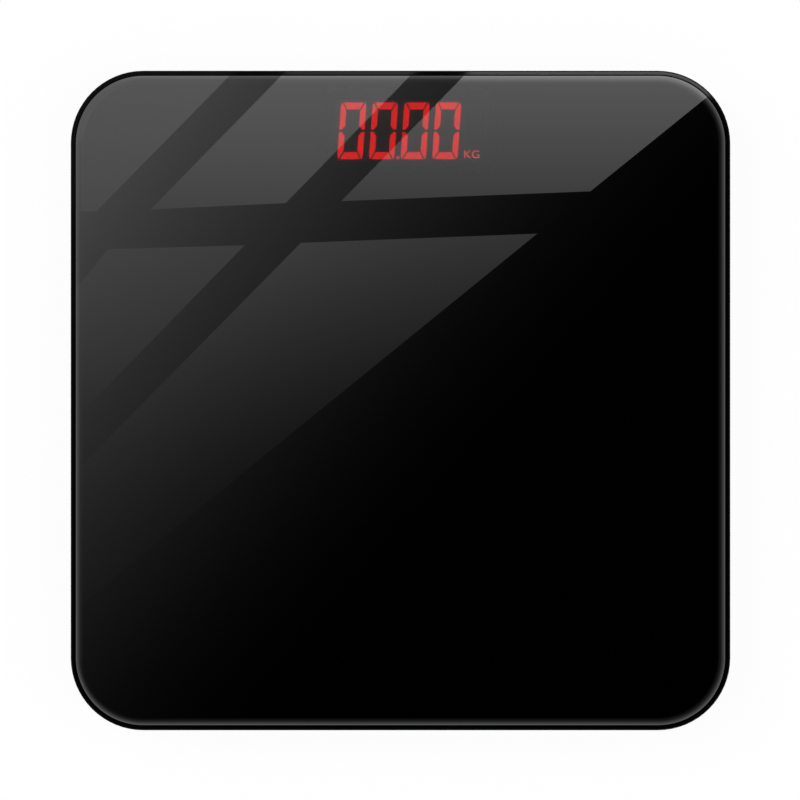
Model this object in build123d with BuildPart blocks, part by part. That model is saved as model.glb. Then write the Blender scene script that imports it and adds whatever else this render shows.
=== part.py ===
"""Digital bathroom scale: a black glass platform on a moulded tray, with a red LED display under the glass.

The tray stands on four feet, and each foot hangs on the tongue of a load cell. Batteries sit in a well behind
a hinged door on the underside, and a push button beside the door changes the unit.

Millimetres. The origin is on the floor under the middle of the platform. +Z is up, and +Y points at the edge
that holds the display, which is the front: the person on the scale stands with both toes that way.
"""

from build123d import *

import os
from math import cos, radians, sin, sqrt, tan

# Platform outline
scale_width = 260.0
scale_depth = 260.0
corner_radius = 28.6

# Rim and glass
rim_wall = 1.6
rim_gap = 0.2
rim_chamfer = 0.5
glass_thickness = 5.0
edge_round = 5.6
edge_angle = 35.0
film_thickness = 0.2
film_inset = 0.4
tape_thickness = 0.8
tape_width = 6.0
tape_strip_length = 46.0

# Tray
foot_stand = 3.0
floor_thickness = 2.0
tray_wall = 2.6
base_bevel = 8.0
bevel_wall = 2.0
glue_wall = 1.4
glue_channel = 4.4
rib_thickness = 1.2
glue_rib_count = 4
grid_rib_height = 5.0
grid_columns = 5
grid_rows = 4
grid_width = 84.0
grid_depth = 96.0
grid_inset = 26.0

# Feet and load cells
foot_inset = 40.0
foot_travel = 0.5
pocket_radius = 23.5
tower_wall = 1.6
tower_ring = 3.0
foot_gap = 0.5
foot_sides = 48
foot_stop_gap = 0.1
foot_boss = 9.0
foot_pin_radius = 2.5
foot_pin_head = 0.6
foot_pin_sides = 8
foot_pin_play = 0.1
pad_radius = 19.0
pad_thickness = 1.6
cell_side = 34.0
cell_corner = 4.0
cell_thickness = 2.4
cell_lift = 0.4
cell_frame = 5.0
cell_root = 6.5
cell_slot = 2.4
tongue_head = 16.0
tongue_neck = 9.0
tongue_neck_length = 6.0
cell_ledge = 4.0
cell_gap = 0.15
cell_stop_length = 8.0
cell_stop_wall = 1.5
cell_stop_rise = 0.6
roof_thickness = 2.0
gauge_length = 4.4
gauge_width = 5.0
gauge_thickness = 0.5

# Leads
lead_width = 2.4
lead_thickness = 1.4
lead_gap = 0.2
lead_slope = 10.0
lead_bend = 4.0
lead_rise_bend = 1.6
lead_channel_inset = 82.0
lead_guide_length = 5.0
lead_guide_height = 2.4
lead_guide_count = 3
supply_thickness = 1.2
supply_spacing = 3.0
supply_bend = 2.0

# Batteries, contacts and well
battery_diameter = 10.5
battery_length = 44.5
battery_nub_radius = 1.9
battery_nub = 1.0
battery_pitch = 11.4
battery_clear = 0.2
well_side_clear = 0.35
well_wall = 1.4
well_drop = 102.0
glass_gap = 0.3
ledge_thickness = 1.4
contact_thickness = 0.4
contact_width = 9.0
contact_height = 8.6
dimple_radius = 1.8
dimple_height = 0.5
tab_width = 3.0
tab_reach = 2.5
tab_gap = 0.1
tab_lift = 2.2
spring_length = 5.6
spring_thickness = 0.4
spring_width = 4.5
spring_span = 8.0
spring_foot = 1.6
spring_crest = 2.6
spring_free_gap = 1.0
divider_base = 3.0
divider_tip = 1.4
divider_height = 2.2

# Battery door
door_length = 60.0
door_width = 30.0
door_thickness = 1.8
door_gap = 0.3
door_corner = 2.0
hinge_pin_radius = 0.6
hinge_pin_reach = 1.0
hinge_clear = 0.06
latch_width = 12.0
latch_length = 8.0
latch_slot = 1.0
latch_nose = 1.2
latch_nose_thickness = 0.9
latch_clear = 0.3
grip_count = 3
grip_pitch = 1.8
grip_width = 0.8
grip_depth = 0.4
scoop_radius = 8.0
scoop_depth = 1.0

# Display
digit_count = 4
digit_height = 22.4
digit_width = 10.0
digit_pitch = 12.5
digit_left = -25.0
digit_drop = 34.6
digit_slant = 4.0
bar_thickness = 2.75
post_thickness = 2.25
mitre_start = 0.75
mitre_gap = 0.28
corner_cut = 1.3
post_tip = 1.0
post_gap_outer = 0.5
post_gap_inner = 2.0
middle_inset = 0.7
middle_gap = 0.3
segment_depth = 2.0
point_digit = 2
point_size = 1.3
point_offset = 1.1
unit_left = 25.0
unit_width = 6.4
unit_height = 3.4
unit_lift = 0.2
display_height = 6.4
display_margin = 3.0
gasket_width = 2.0
display_pin = 0.5
display_pin_gap = 0.05
display_pin_reach = 1.2
display_pin_pitch = 6.0
display_pin_count = 6
display_pin_inset = 1.4

# Circuit board
board_thickness = 1.6
board_width = 92.0
board_depth = 44.0
board_back = 0.6
boss_side = 6.0
boss_hole_radius = 1.0
boss_hole_depth = 3.6
screw_clear = 0.05
screw_head_radius = 2.3
screw_head = 1.6
screw_length = 4.6
screw_sides = 6
board_hole_radius = 1.4
boss_front_x = 41.5
boss_front_inset = 3.5
boss_rear_x = 26.0
boss_rear_inset = 3.5
board_row = 7.0
lead_pad_inset = 7.0
lead_pad_row = 7.0
chip_length = 10.0
chip_width = 4.0
chip_height = 1.6
chip_x = 15.0
converter_side = 7.0
passive_length = 2.0
passive_width = 1.25
passive_height = 0.8
passive_pitch = 3.2
passive_count = 4
passive_x = 34.0

# Unit button
button_radius = 4.6
button_gap = 0.3
button_sink = 0.4
button_flange = 1.4
button_flange_thickness = 0.8
button_stem = 3.0
button_travel = 0.35
button_chamfer = 0.4
switch_side = 6.0
switch_body = 2.0
plunger_radius = 1.5
plunger_gap = 0.1
plunger_proud = 0.7
plunger_inside = 1.0
plunger_room = 0.2

# Levels above the floor
underside_z = foot_stand
floor_z = underside_z + floor_thickness
door_top_z = underside_z + door_thickness
well_roof_z = door_top_z + battery_diameter + 2 * battery_clear
battery_z = door_top_z + battery_clear + battery_diameter / 2
seat_z = well_roof_z + well_wall + glass_gap
film_z = seat_z + tape_thickness
glass_z = film_z + film_thickness
top_z = glass_z + glass_thickness
edge_width = edge_round * sin(radians(edge_angle))
edge_drop = edge_round * (1 - cos(radians(edge_angle)))
rim_z = top_z - edge_drop
cell_z = floor_z + cell_lift
cell_top_z = cell_z + cell_thickness
roof_z = cell_top_z + lead_thickness + 2 * lead_gap
display_z = seat_z - display_height
board_z = display_z - board_thickness

# Places in plan
glass_inset = rim_wall + rim_gap
foot_x = scale_width / 2 - foot_inset
foot_y = scale_depth / 2 - foot_inset
tower_side = 2 * (pocket_radius + tower_wall)
glue_wall_inset = tray_wall + glue_channel
lead_exit_x = foot_x - tower_side / 2
lead_channel_x = scale_width / 2 - lead_channel_inset
well_x = 0.0
well_y = scale_depth / 2 - well_drop
cavity_length = battery_length + spring_length + dimple_height + 2 * contact_thickness
cavity_width = battery_pitch + battery_diameter + 2 * well_side_clear
digit_base_y = scale_depth / 2 - digit_drop
display_left = digit_left - display_margin
display_right = unit_left + unit_width + display_margin
display_width = display_right - display_left
display_depth = digit_height + 2 * display_margin
display_x = (display_left + display_right) / 2
display_y = digit_base_y + digit_height / 2
board_front = display_y + display_depth / 2 + board_back
board_y = board_front - board_depth / 2
board_rear = board_front - board_depth
lead_pad_y = board_rear + lead_pad_row
button_x = 0.0
button_y = board_rear + board_row
plunger_tip_z = board_z - switch_body - plunger_proud

corners = {
    "front_left": (-1, 1),
    "front_right": (1, 1),
    "rear_left": (-1, -1),
    "rear_right": (1, -1),
}
rest_spots = [(side * boss_front_x, board_front - boss_front_inset) for side in (-1, 1)]
screw_spots = [(side * boss_rear_x, board_rear + boss_rear_inset) for side in (-1, 1)]


def plate(inset, mode=Mode.ADD):
    """The platform's rounded square, drawn in by the inset on every side."""
    radius = corner_radius - inset
    return RectangleRounded(scale_width - 2 * inset, scale_depth - 2 * inset, radius, mode=mode)


def level(z, x=0.0, y=0.0, facing=1):
    """A flat plane at height z over (x, y), with its X axis turned to -X when facing is -1."""
    return Plane(origin=(x, y, z), x_dir=(facing, 0, 0), z_dir=(0, 0, 1))


def save(builder, name):
    """Labels a finished piece and writes it under its own name."""
    builder.part.label = name
    export_step(builder.part, f"parts/{name}.step")


os.makedirs("parts", exist_ok=True)

# Glass platform: a plate whose top edge rolls over to meet the rim
with BuildPart() as glass_platform:
    with BuildSketch(level(glass_z)):
        plate(glass_inset)
    extrude(amount=glass_thickness)
    glass_side = scale_width / 2 - glass_inset
    top_wire = glass_platform.faces().sort_by(Axis.Z)[-1].outer_wire()
    with BuildSketch(Plane.XZ) as edge_cut:
        with BuildLine():
            roll_start = (glass_side - edge_width, top_z)
            roll_end = (glass_side, rim_z)
            RadiusArc(roll_start, roll_end, edge_round)
            Polyline(roll_end, (glass_side, top_z), roll_start)
        make_face()
    sweep(path=top_wire, mode=Mode.SUBTRACT)
save(glass_platform, "glass_platform")

# Printed film behind the glass, with a gap for the tinted display window
window_width = display_width - 2 * gasket_width
window_depth = display_depth - 2 * gasket_width
with BuildPart() as printed_film:
    with BuildSketch(level(film_z)):
        plate(glass_inset + film_inset)
        with Locations((display_x, display_y)):
            Rectangle(window_width, window_depth, mode=Mode.SUBTRACT)
    extrude(amount=film_thickness)
save(printed_film, "printed_film")

with BuildPart() as display_window:
    with BuildSketch(level(film_z, display_x, display_y)):
        Rectangle(window_width, window_depth)
    extrude(amount=film_thickness)
save(display_window, "display_window")

# Adhesive tape: a ring on the tray's glue channel and a strip across each load-cell tower
with BuildPart() as adhesive_tape:
    with BuildSketch(level(seat_z)):
        plate(glass_inset)
        plate(glass_inset + tape_width, mode=Mode.SUBTRACT)
        with GridLocations(2 * foot_x, 2 * foot_y, 2, 2):
            Rectangle(tape_strip_length, tape_width)
    extrude(amount=tape_thickness)
save(adhesive_tape, "adhesive_tape")

# Tray: one moulding that holds everything else
glue_rib_pitch_x = (scale_width - 2 * corner_radius) / glue_rib_count
glue_rib_pitch_y = (scale_depth - 2 * corner_radius) / glue_rib_count
glue_rib_middle = tray_wall + glue_channel / 2
grid_y = grid_inset - scale_depth / 2 + grid_depth / 2
lead_floor_z = floor_z + lead_thickness / 2
surround_length = door_length + 2 * (door_gap + well_wall)
surround_width = door_width + 2 * (door_gap + well_wall)
hinge_y = well_y - door_width / 2 + door_thickness / 2
hinge_z = underside_z + door_thickness / 2
latch_edge_y = well_y + door_width / 2
contact_end_x = well_x - cavity_length / 2
front_row_y = well_y + battery_pitch / 2
rear_row_y = well_y - battery_pitch / 2
tab_z = door_top_z + tab_lift

cavity_bevel = base_bevel + bevel_wall * sqrt(2) - tray_wall - floor_thickness
with BuildPart() as tray_cavity:
    with BuildSketch(level(floor_z)):
        plate(tray_wall)
    extrude(amount=rim_z - floor_z)
    chamfer(tray_cavity.edges().group_by(Axis.Z)[0], cavity_bevel)

with BuildPart() as base_shell:
    # Tub with a bevelled lower edge and a rim round the glass
    with BuildSketch(level(underside_z)):
        plate(0)
    extrude(amount=rim_z - underside_z)
    chamfer(base_shell.edges().group_by(Axis.Z)[0], base_bevel)
    chamfer(base_shell.edges().group_by(Axis.Z)[-1], rim_chamfer)
    add(tray_cavity.part, mode=Mode.SUBTRACT)
    with BuildSketch(level(seat_z)):
        plate(rim_wall)
    extrude(amount=rim_z - seat_z, mode=Mode.SUBTRACT)

    # Second wall and cross ribs that carry the tape
    with BuildSketch(level(floor_z)):
        plate(glue_wall_inset)
        plate(glue_wall_inset + glue_wall, mode=Mode.SUBTRACT)
        with GridLocations(glue_rib_pitch_x, scale_depth - 2 * glue_rib_middle, glue_rib_count, 2):
            Rectangle(rib_thickness, glue_channel + glue_wall)
        with GridLocations(scale_width - 2 * glue_rib_middle, glue_rib_pitch_y, 2, glue_rib_count):
            Rectangle(glue_channel + glue_wall, rib_thickness)
    extrude(amount=seat_z - floor_z)

    # Rib grid that stiffens the floor
    with BuildSketch(level(floor_z, 0, grid_y)):
        with GridLocations(grid_width / (grid_columns - 1), 0, grid_columns, 1):
            Rectangle(rib_thickness, grid_depth)
        with GridLocations(0, grid_depth / (grid_rows - 1), 1, grid_rows):
            Rectangle(grid_width + rib_thickness, rib_thickness)
    extrude(amount=grid_rib_height)

    # Slots that keep the ribs clear of the rear leads
    lead_slot = lead_width + 2 * lead_gap
    with BuildSketch(level(floor_z)):
        for side in (-1, 1):
            with Locations((side * lead_channel_x, (lead_pad_y - foot_y) / 2)):
                Rectangle(lead_slot, lead_pad_y + foot_y)
            with Locations((side * (lead_channel_x + lead_exit_x) / 2, -foot_y)):
                Rectangle(lead_exit_x - lead_channel_x + lead_slot, lead_slot)
    extrude(amount=grid_rib_height, mode=Mode.SUBTRACT)

    # Load-cell towers: walls up to the glass, a cross-ribbed roof over the cell, a round pocket for the foot
    with BuildSketch(level(underside_z)):
        with GridLocations(2 * foot_x, 2 * foot_y, 2, 2):
            Rectangle(tower_side, tower_side)
    extrude(amount=seat_z - underside_z)
    with BuildSketch(level(roof_z + roof_thickness)):
        with GridLocations(2 * foot_x, 2 * foot_y, 2, 2):
            Rectangle(tower_side - 2 * tower_ring, tower_side - 2 * tower_ring)
            Rectangle(rib_thickness, tower_side, mode=Mode.SUBTRACT)
            Rectangle(tower_side, rib_thickness, mode=Mode.SUBTRACT)
    extrude(amount=seat_z - roof_z - roof_thickness, mode=Mode.SUBTRACT)
    with BuildSketch(level(underside_z)):
        with GridLocations(2 * foot_x, 2 * foot_y, 2, 2):
            Circle(pocket_radius)
    extrude(amount=roof_z - underside_z, mode=Mode.SUBTRACT)

    # Ledge that bears on each cell's frame, open on the side where the lead comes out
    with BuildSketch(level(cell_top_z)):
        for side, end in corners.values():
            with Locations((side * foot_x, end * foot_y)):
                Rectangle(cell_side, cell_side)
                Rectangle(cell_side - 2 * cell_ledge, cell_side - 2 * cell_ledge, mode=Mode.SUBTRACT)
            with Locations((side * (foot_x - cell_side / 2), end * foot_y)):
                Rectangle(2 * (cell_ledge + lead_gap), lead_slot, mode=Mode.SUBTRACT)
    extrude(amount=roof_z - cell_top_z)

    # Stops that keep each cell from shifting
    stop_offset = cell_side / 2 + cell_gap + cell_stop_wall / 2
    with BuildSketch(level(cell_z + cell_stop_rise)):
        for side, end in corners.values():
            with Locations((side * foot_x, end * foot_y)):
                with Locations((0, stop_offset), (0, -stop_offset)):
                    Rectangle(cell_stop_length, cell_stop_wall)
                with Locations((side * stop_offset, 0)):
                    Rectangle(cell_stop_wall, cell_stop_length)
    extrude(amount=roof_z - cell_z - cell_stop_rise)

    # Way out of each tower for its lead
    with BuildSketch(level(cell_top_z)):
        for side, end in corners.values():
            with Locations((side * (foot_x - tower_side / 2), end * foot_y)):
                Rectangle(2 * (tower_wall + lead_gap), lead_slot)
    extrude(amount=roof_z - cell_top_z, mode=Mode.SUBTRACT)

    # Guides that hold the rear leads to the floor
    guide_offset = lead_width / 2 + lead_gap + rib_thickness / 2
    with BuildSketch(level(floor_z)):
        with GridLocations(2 * lead_channel_x, grid_depth / (lead_guide_count - 1), 2, lead_guide_count):
            with Locations((guide_offset, grid_y), (-guide_offset, grid_y)):
                Rectangle(rib_thickness, lead_guide_length)
    extrude(amount=lead_guide_height)

    # Battery well: a surround for the door, walls and a roof
    with BuildSketch(level(underside_z, well_x, well_y)):
        Rectangle(surround_length, surround_width)
    extrude(amount=door_thickness + ledge_thickness)
    with BuildSketch(level(door_top_z, well_x, well_y)):
        Rectangle(cavity_length + 2 * well_wall, cavity_width + 2 * well_wall)
    extrude(amount=well_roof_z + well_wall - door_top_z)
    with BuildSketch(level(underside_z, well_x, well_y)) as recess:
        Rectangle(door_length + 2 * door_gap, door_width + 2 * door_gap)
        fillet(recess.vertices().group_by(Axis.Y)[-1], door_corner + door_gap)
    extrude(amount=door_thickness, mode=Mode.SUBTRACT)
    with BuildSketch(level(door_top_z, well_x, well_y)):
        Rectangle(cavity_length, cavity_width)
    extrude(amount=well_roof_z - door_top_z, mode=Mode.SUBTRACT)

    # Ridge in the roof that parts the two cells
    with BuildSketch(Plane.YZ.offset(well_x - battery_length / 2)):
        with BuildLine():
            Polyline(
                (well_y - divider_base / 2, well_roof_z),
                (well_y - divider_tip / 2, well_roof_z - divider_height),
                (well_y + divider_tip / 2, well_roof_z - divider_height),
                (well_y + divider_base / 2, well_roof_z),
                close=True,
            )
        make_face()
    extrude(amount=battery_length)

    # Slots where the contact tabs leave the well
    with BuildSketch(Plane.YZ.offset(contact_end_x)):
        with Locations((rear_row_y, tab_z), (front_row_y, tab_z)):
            Rectangle(tab_width + 2 * tab_gap, contact_thickness + 2 * tab_gap)
    extrude(amount=-well_wall, mode=Mode.SUBTRACT)

    # Sockets for the door's hinge pins, a notch for its latch and a scoop for a fingertip
    pin_socket_depth = hinge_pin_reach + hinge_clear
    for side in (-1, 1):
        with BuildSketch(Plane.YZ.offset(well_x + side * (door_length / 2 + door_gap))):
            with Locations((hinge_y, hinge_z)):
                Circle(hinge_pin_radius + hinge_clear)
        extrude(amount=side * pin_socket_depth, mode=Mode.SUBTRACT)
    with BuildSketch(level(underside_z, well_x, latch_edge_y + latch_nose)):
        Rectangle(latch_width + 2 * latch_clear, 2 * (latch_nose + latch_clear))
    extrude(amount=door_thickness, mode=Mode.SUBTRACT)
    with BuildSketch(level(underside_z, well_x, latch_edge_y)):
        Circle(scoop_radius)
    extrude(amount=scoop_depth, mode=Mode.SUBTRACT)

    # Posts under the circuit board, the rear pair with screw holes
    with BuildSketch(level(floor_z)):
        with Locations(*rest_spots, *screw_spots):
            Rectangle(boss_side, boss_side)
    extrude(amount=board_z - floor_z)
    with BuildSketch(level(board_z)):
        with Locations(*screw_spots):
            RegularPolygon(boss_hole_radius, screw_sides)
    extrude(amount=-boss_hole_depth, mode=Mode.SUBTRACT)

    # Hole for the unit button
    with BuildSketch(level(underside_z, button_x, button_y)):
        Circle(button_radius + button_gap)
    extrude(amount=floor_thickness, mode=Mode.SUBTRACT)
save(base_shell, "base_shell")

# Load cell at each corner: a square frame with a tongue rooted on the side that faces the middle
tongue_left = cell_root - cell_side / 2
tongue_right = cell_side / 2 - cell_frame - cell_slot
window_half = cell_side / 2 - cell_frame
head_left = tongue_left + tongue_neck_length
foot_radius = pocket_radius - foot_gap
foot_plate_z = cell_z - foot_travel - foot_stop_gap

for corner, (side, end) in corners.items():
    spot = (side * foot_x, end * foot_y)

    with BuildPart() as load_cell:
        with BuildSketch(level(cell_z, *spot, facing=side)):
            chamfer(Rectangle(cell_side, cell_side).vertices(), cell_corner)
            with Locations(((tongue_left + window_half) / 2, 0)):
                Rectangle(window_half - tongue_left, 2 * window_half, mode=Mode.SUBTRACT)
            with Locations(((tongue_left + head_left) / 2, 0)):
                Rectangle(tongue_neck_length, tongue_neck)
            with Locations(((head_left + tongue_right) / 2, 0)):
                Rectangle(tongue_right - head_left, tongue_head)
            RegularPolygon(foot_pin_radius + foot_pin_play, foot_pin_sides, mode=Mode.SUBTRACT)
        extrude(amount=cell_thickness)
    save(load_cell, f"load_cell_{corner}")

    # Foot: a plate that floats in its pocket, with a boss that bears on the tongue and a headed pin through it
    with BuildPart() as foot:
        with BuildSketch(level(pad_thickness, *spot)):
            RegularPolygon(foot_radius, foot_sides)
        extrude(amount=foot_plate_z - pad_thickness)
        with BuildSketch(level(foot_plate_z, *spot)):
            Rectangle(foot_boss, foot_boss)
        extrude(amount=cell_z - foot_plate_z)
        with BuildSketch(level(cell_z, *spot)):
            RegularPolygon(foot_pin_radius, foot_pin_sides)
        extrude(amount=cell_thickness + foot_pin_play)
        with BuildSketch(level(cell_top_z + foot_pin_play, *spot)):
            RegularPolygon(foot_pin_radius + foot_pin_head, foot_pin_sides)
        extrude(amount=foot_pin_head)
    save(foot, f"foot_{corner}")

    with BuildPart() as foot_pad:
        with BuildSketch(level(0, *spot)):
            RegularPolygon(pad_radius, foot_sides)
        extrude(amount=pad_thickness)
    save(foot_pad, f"foot_pad_{corner}")

# Strain gauges: one bonded to the neck of each tongue
with BuildPart() as strain_gauges:
    with BuildSketch(level(cell_top_z)):
        for side, end in corners.values():
            with Locations((side * (foot_x + (tongue_left + head_left) / 2), end * foot_y)):
                Rectangle(gauge_length, gauge_width)
    extrude(amount=gauge_thickness)
save(strain_gauges, "strain_gauges")

# Leads from the load cells: out of the tower, down to the floor, and up into the circuit board
lead_cell_z = cell_top_z + lead_thickness / 2
lead_start_x = foot_x + tongue_left
lead_pad_x = board_width / 2 - lead_pad_inset
for corner, (side, end) in corners.items():
    start = (side * lead_start_x, end * foot_y, lead_cell_z)
    out = (side * lead_exit_x, end * foot_y, lead_cell_z)
    down = (side * (lead_exit_x - lead_slope), end * foot_y, lead_floor_z)
    if end > 0:
        pad_y = foot_y
        route = [start, out, down]
        bends = [lead_bend, lead_bend]
    else:
        pad_y = lead_pad_y
        turn = (side * lead_channel_x, -foot_y, lead_floor_z)
        back = (side * lead_channel_x, pad_y, lead_floor_z)
        route = [start, out, down, turn, back]
        bends = [lead_bend] * 4
    under = (side * lead_pad_x, pad_y, lead_floor_z)
    tip = (side * lead_pad_x, pad_y, board_z)
    with BuildPart() as sensor_lead:
        with BuildLine() as lead_path:
            FilletPolyline(*route, under, tip, radius=[*bends, lead_rise_bend])
        with BuildSketch(Plane(origin=start, x_dir=(0, 1, 0), z_dir=(-side, 0, 0))):
            Rectangle(lead_width, lead_thickness)
        sweep(path=lead_path.line)
    save(sensor_lead, f"sensor_lead_{corner}")

# Batteries: two cells side by side, the second turned end for end
cells = {"battery_front": (-1, front_row_y), "battery_rear": (1, rear_row_y)}
for name, (facing, row_y) in cells.items():
    nub_tip_x = well_x + facing * (cavity_length / 2 - contact_thickness - dimple_height)
    nub_tip = (nub_tip_x, row_y, battery_z)
    with BuildPart() as battery:
        with BuildSketch(Plane(origin=nub_tip, x_dir=(-facing, 0, 0), z_dir=(0, -facing, 0))):
            with BuildLine():
                Polyline(
                    (0, 0),
                    (0, battery_nub_radius),
                    (battery_nub, battery_nub_radius),
                    (battery_nub, battery_diameter / 2),
                    (battery_length, battery_diameter / 2),
                    (battery_length, 0),
                    close=True,
                )
            make_face()
        revolve(axis=Axis(nub_tip, (1, 0, 0)))
    save(battery, name)

# Contacts: two terminals at one end of the well and a bridge at the other
bridge_x = well_x + cavity_length / 2
with BuildPart() as contact_positive:
    with BuildSketch(Plane.YZ.offset(contact_end_x)):
        with Locations((front_row_y, battery_z)):
            Rectangle(contact_width, contact_height)
    extrude(amount=contact_thickness)
    with BuildSketch(Plane.YZ.offset(contact_end_x + contact_thickness)):
        with Locations((front_row_y, battery_z)):
            Circle(dimple_radius)
    extrude(amount=dimple_height)
    with BuildSketch(Plane.YZ.offset(contact_end_x)):
        with Locations((front_row_y, tab_z)):
            Rectangle(tab_width, contact_thickness)
    extrude(amount=-(well_wall + tab_reach))
save(contact_positive, "contact_positive")

with BuildPart() as contact_negative:
    with BuildSketch(Plane.YZ.offset(contact_end_x)):
        with Locations((rear_row_y, battery_z)):
            Rectangle(contact_width, contact_height)
    extrude(amount=contact_thickness)
    with BuildSketch(Plane.YZ.offset(contact_end_x)):
        with Locations((rear_row_y, tab_z)):
            Rectangle(tab_width, contact_thickness)
    extrude(amount=-(well_wall + tab_reach))
save(contact_negative, "contact_negative")

with BuildPart() as contact_bridge:
    with BuildSketch(Plane.YZ.offset(bridge_x)):
        with Locations((well_y, battery_z)):
            Rectangle(contact_width + battery_pitch, contact_height)
    extrude(amount=-contact_thickness)
    with BuildSketch(Plane.YZ.offset(bridge_x - contact_thickness)):
        with Locations((rear_row_y, battery_z)):
            Circle(dimple_radius)
    extrude(amount=-dimple_height)
save(contact_bridge, "contact_bridge")

# Springs: a folded leaf on each negative plate, bonded at one end and free at the other
springs = {
    "spring_negative": (contact_end_x + contact_thickness, 1, rear_row_y),
    "spring_bridge": (bridge_x - contact_thickness, -1, front_row_y),
}
for name, (seat, facing, row_y) in springs.items():
    with BuildPart() as spring:
        with BuildSketch(level(battery_z - spring_width / 2)):
            with BuildLine():
                foot_reach = spring_thickness / 2
                Polyline(
                    (seat + facing * foot_reach, row_y - spring_span / 2),
                    (seat + facing * foot_reach, row_y - spring_span / 2 + spring_foot),
                    (seat + facing * (spring_length - foot_reach), row_y - spring_crest / 2),
                    (seat + facing * (spring_length - foot_reach), row_y + spring_crest / 2),
                    (seat + facing * spring_free_gap, row_y + spring_span / 2),
                )
            trace(line_width=spring_thickness)
        extrude(amount=spring_width)
    save(spring, name)

# Supply leads from the terminals to the circuit board
supply_start_x = contact_end_x - well_wall - tab_reach
with BuildPart() as supply_leads:
    for order, lead_y in ((1, front_row_y), (2, rear_row_y)):
        turn_x = supply_start_x - order * supply_spacing
        start = (supply_start_x, lead_y, tab_z)
        pad_y = board_rear + boss_rear_inset
        with BuildLine() as supply_path:
            FilletPolyline(
                start,
                (turn_x, lead_y, tab_z),
                (turn_x, pad_y, tab_z),
                (turn_x, pad_y, board_z),
                radius=[supply_bend, lead_rise_bend],
            )
        with BuildSketch(Plane(origin=start, x_dir=(0, 1, 0), z_dir=(-1, 0, 0))):
            Rectangle(supply_thickness, supply_thickness)
        sweep(path=supply_path.line)
save(supply_leads, "supply_leads")

# Battery door: a plate with a rounded hinge edge, end pins and a sprung latch tongue
with BuildPart() as battery_door:
    with BuildSketch(Plane.YZ.offset(well_x - door_length / 2)):
        with BuildLine():
            CenterArc((hinge_y, hinge_z), door_thickness / 2, 90, 180)
            Polyline(
                (hinge_y, underside_z),
                (latch_edge_y, underside_z),
                (latch_edge_y, door_top_z),
                (hinge_y, door_top_z),
            )
        make_face()
    extrude(amount=door_length)
    fillet(battery_door.edges().filter_by(Axis.Z).group_by(Axis.Y)[-1], door_corner)
    for side in (-1, 1):
        with BuildSketch(Plane.YZ.offset(well_x + side * door_length / 2)):
            with Locations((hinge_y, hinge_z)):
                Circle(hinge_pin_radius)
        extrude(amount=side * (door_gap + hinge_pin_reach))
    with BuildSketch(level(underside_z, well_x, latch_edge_y - latch_length / 2)):
        with GridLocations(latch_width + latch_slot, 0, 2, 1):
            Rectangle(latch_slot, latch_length)
    extrude(amount=door_thickness, mode=Mode.SUBTRACT)
    with BuildSketch(level(door_top_z, well_x, latch_edge_y + latch_nose / 2)):
        Rectangle(latch_width, latch_nose)
    extrude(amount=-latch_nose_thickness)
    with BuildSketch(level(underside_z, well_x, latch_edge_y - latch_length / 2)):
        with GridLocations(0, grip_pitch, 1, grip_count):
            Rectangle(latch_width - 2 * latch_slot, grip_width)
    extrude(amount=grip_depth, mode=Mode.SUBTRACT)
save(battery_door, "battery_door")


def slanted(points):
    """Leans an upright outline over by the digits' slant."""
    return [(x + y * tan(radians(digit_slant)), y) for x, y in points]


def segment_outlines():
    """The seven segments of one digit, lettered a to g as usual, from its lower left corner."""
    w, h = digit_width, digit_height
    mitre_drop = bar_thickness + mitre_gap * bar_thickness / (post_thickness - mitre_start)
    top = [
        (mitre_start + mitre_gap, h),
        (w - mitre_start - mitre_gap, h),
        (w - post_thickness - mitre_gap, h - bar_thickness),
        (post_thickness + mitre_gap, h - bar_thickness),
    ]
    upper_left = [
        (0, h - corner_cut),
        (mitre_start - mitre_gap, h),
        (post_thickness, h - mitre_drop),
        (post_thickness, h / 2 + post_gap_inner),
        (post_tip, h / 2 + post_gap_outer),
        (0, h / 2 + post_gap_outer),
    ]
    middle = [
        (middle_inset, h / 2),
        (post_thickness + middle_gap, (h + bar_thickness) / 2),
        (w - post_thickness - middle_gap, (h + bar_thickness) / 2),
        (w - middle_inset, h / 2),
        (w - post_thickness - middle_gap, (h - bar_thickness) / 2),
        (post_thickness + middle_gap, (h - bar_thickness) / 2),
    ]
    outlines = {
        "a": top,
        "b": [(w - x, y) for x, y in upper_left],
        "c": [(w - x, h - y) for x, y in upper_left],
        "d": [(x, h - y) for x, y in top],
        "e": [(x, h - y) for x, y in upper_left],
        "f": upper_left,
        "g": middle,
    }
    return {letter: slanted(outline) for letter, outline in outlines.items()}


def draw_segments(letters):
    """Those segments of every digit, in the open sketch."""
    outlines = segment_outlines()
    for digit in range(digit_count):
        with Locations((digit_left + digit * digit_pitch, digit_base_y)):
            for letter in letters:
                Polygon(*outlines[letter], align=None)


def draw_point():
    """The decimal point behind its digit, in the open sketch."""
    with Locations((digit_left + point_digit * digit_pitch - point_offset, digit_base_y + point_size / 2)):
        Rectangle(point_size, point_size)


def draw_unit():
    """The lamp behind the unit sign, in the open sketch."""
    with Locations((unit_left + unit_width / 2, digit_base_y + unit_lift + unit_height / 2)):
        Rectangle(unit_width, unit_height)


# Display: a dark housing with segment wells, and the cast light pipes that fill them
segment_z = display_z + display_height - segment_depth
with BuildPart() as display_housing:
    with BuildSketch(level(display_z, display_x, display_y)):
        Rectangle(display_width, display_depth)
    extrude(amount=display_height)
    with BuildSketch(level(segment_z)):
        draw_segments("abcdefg")
        draw_point()
        draw_unit()
    extrude(amount=segment_depth, mode=Mode.SUBTRACT)
save(display_housing, "display_housing")

with BuildPart() as lit_segments:
    with BuildSketch(level(segment_z)):
        draw_segments("abcdef")
    extrude(amount=segment_depth)
save(lit_segments, "lit_segments")

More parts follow.
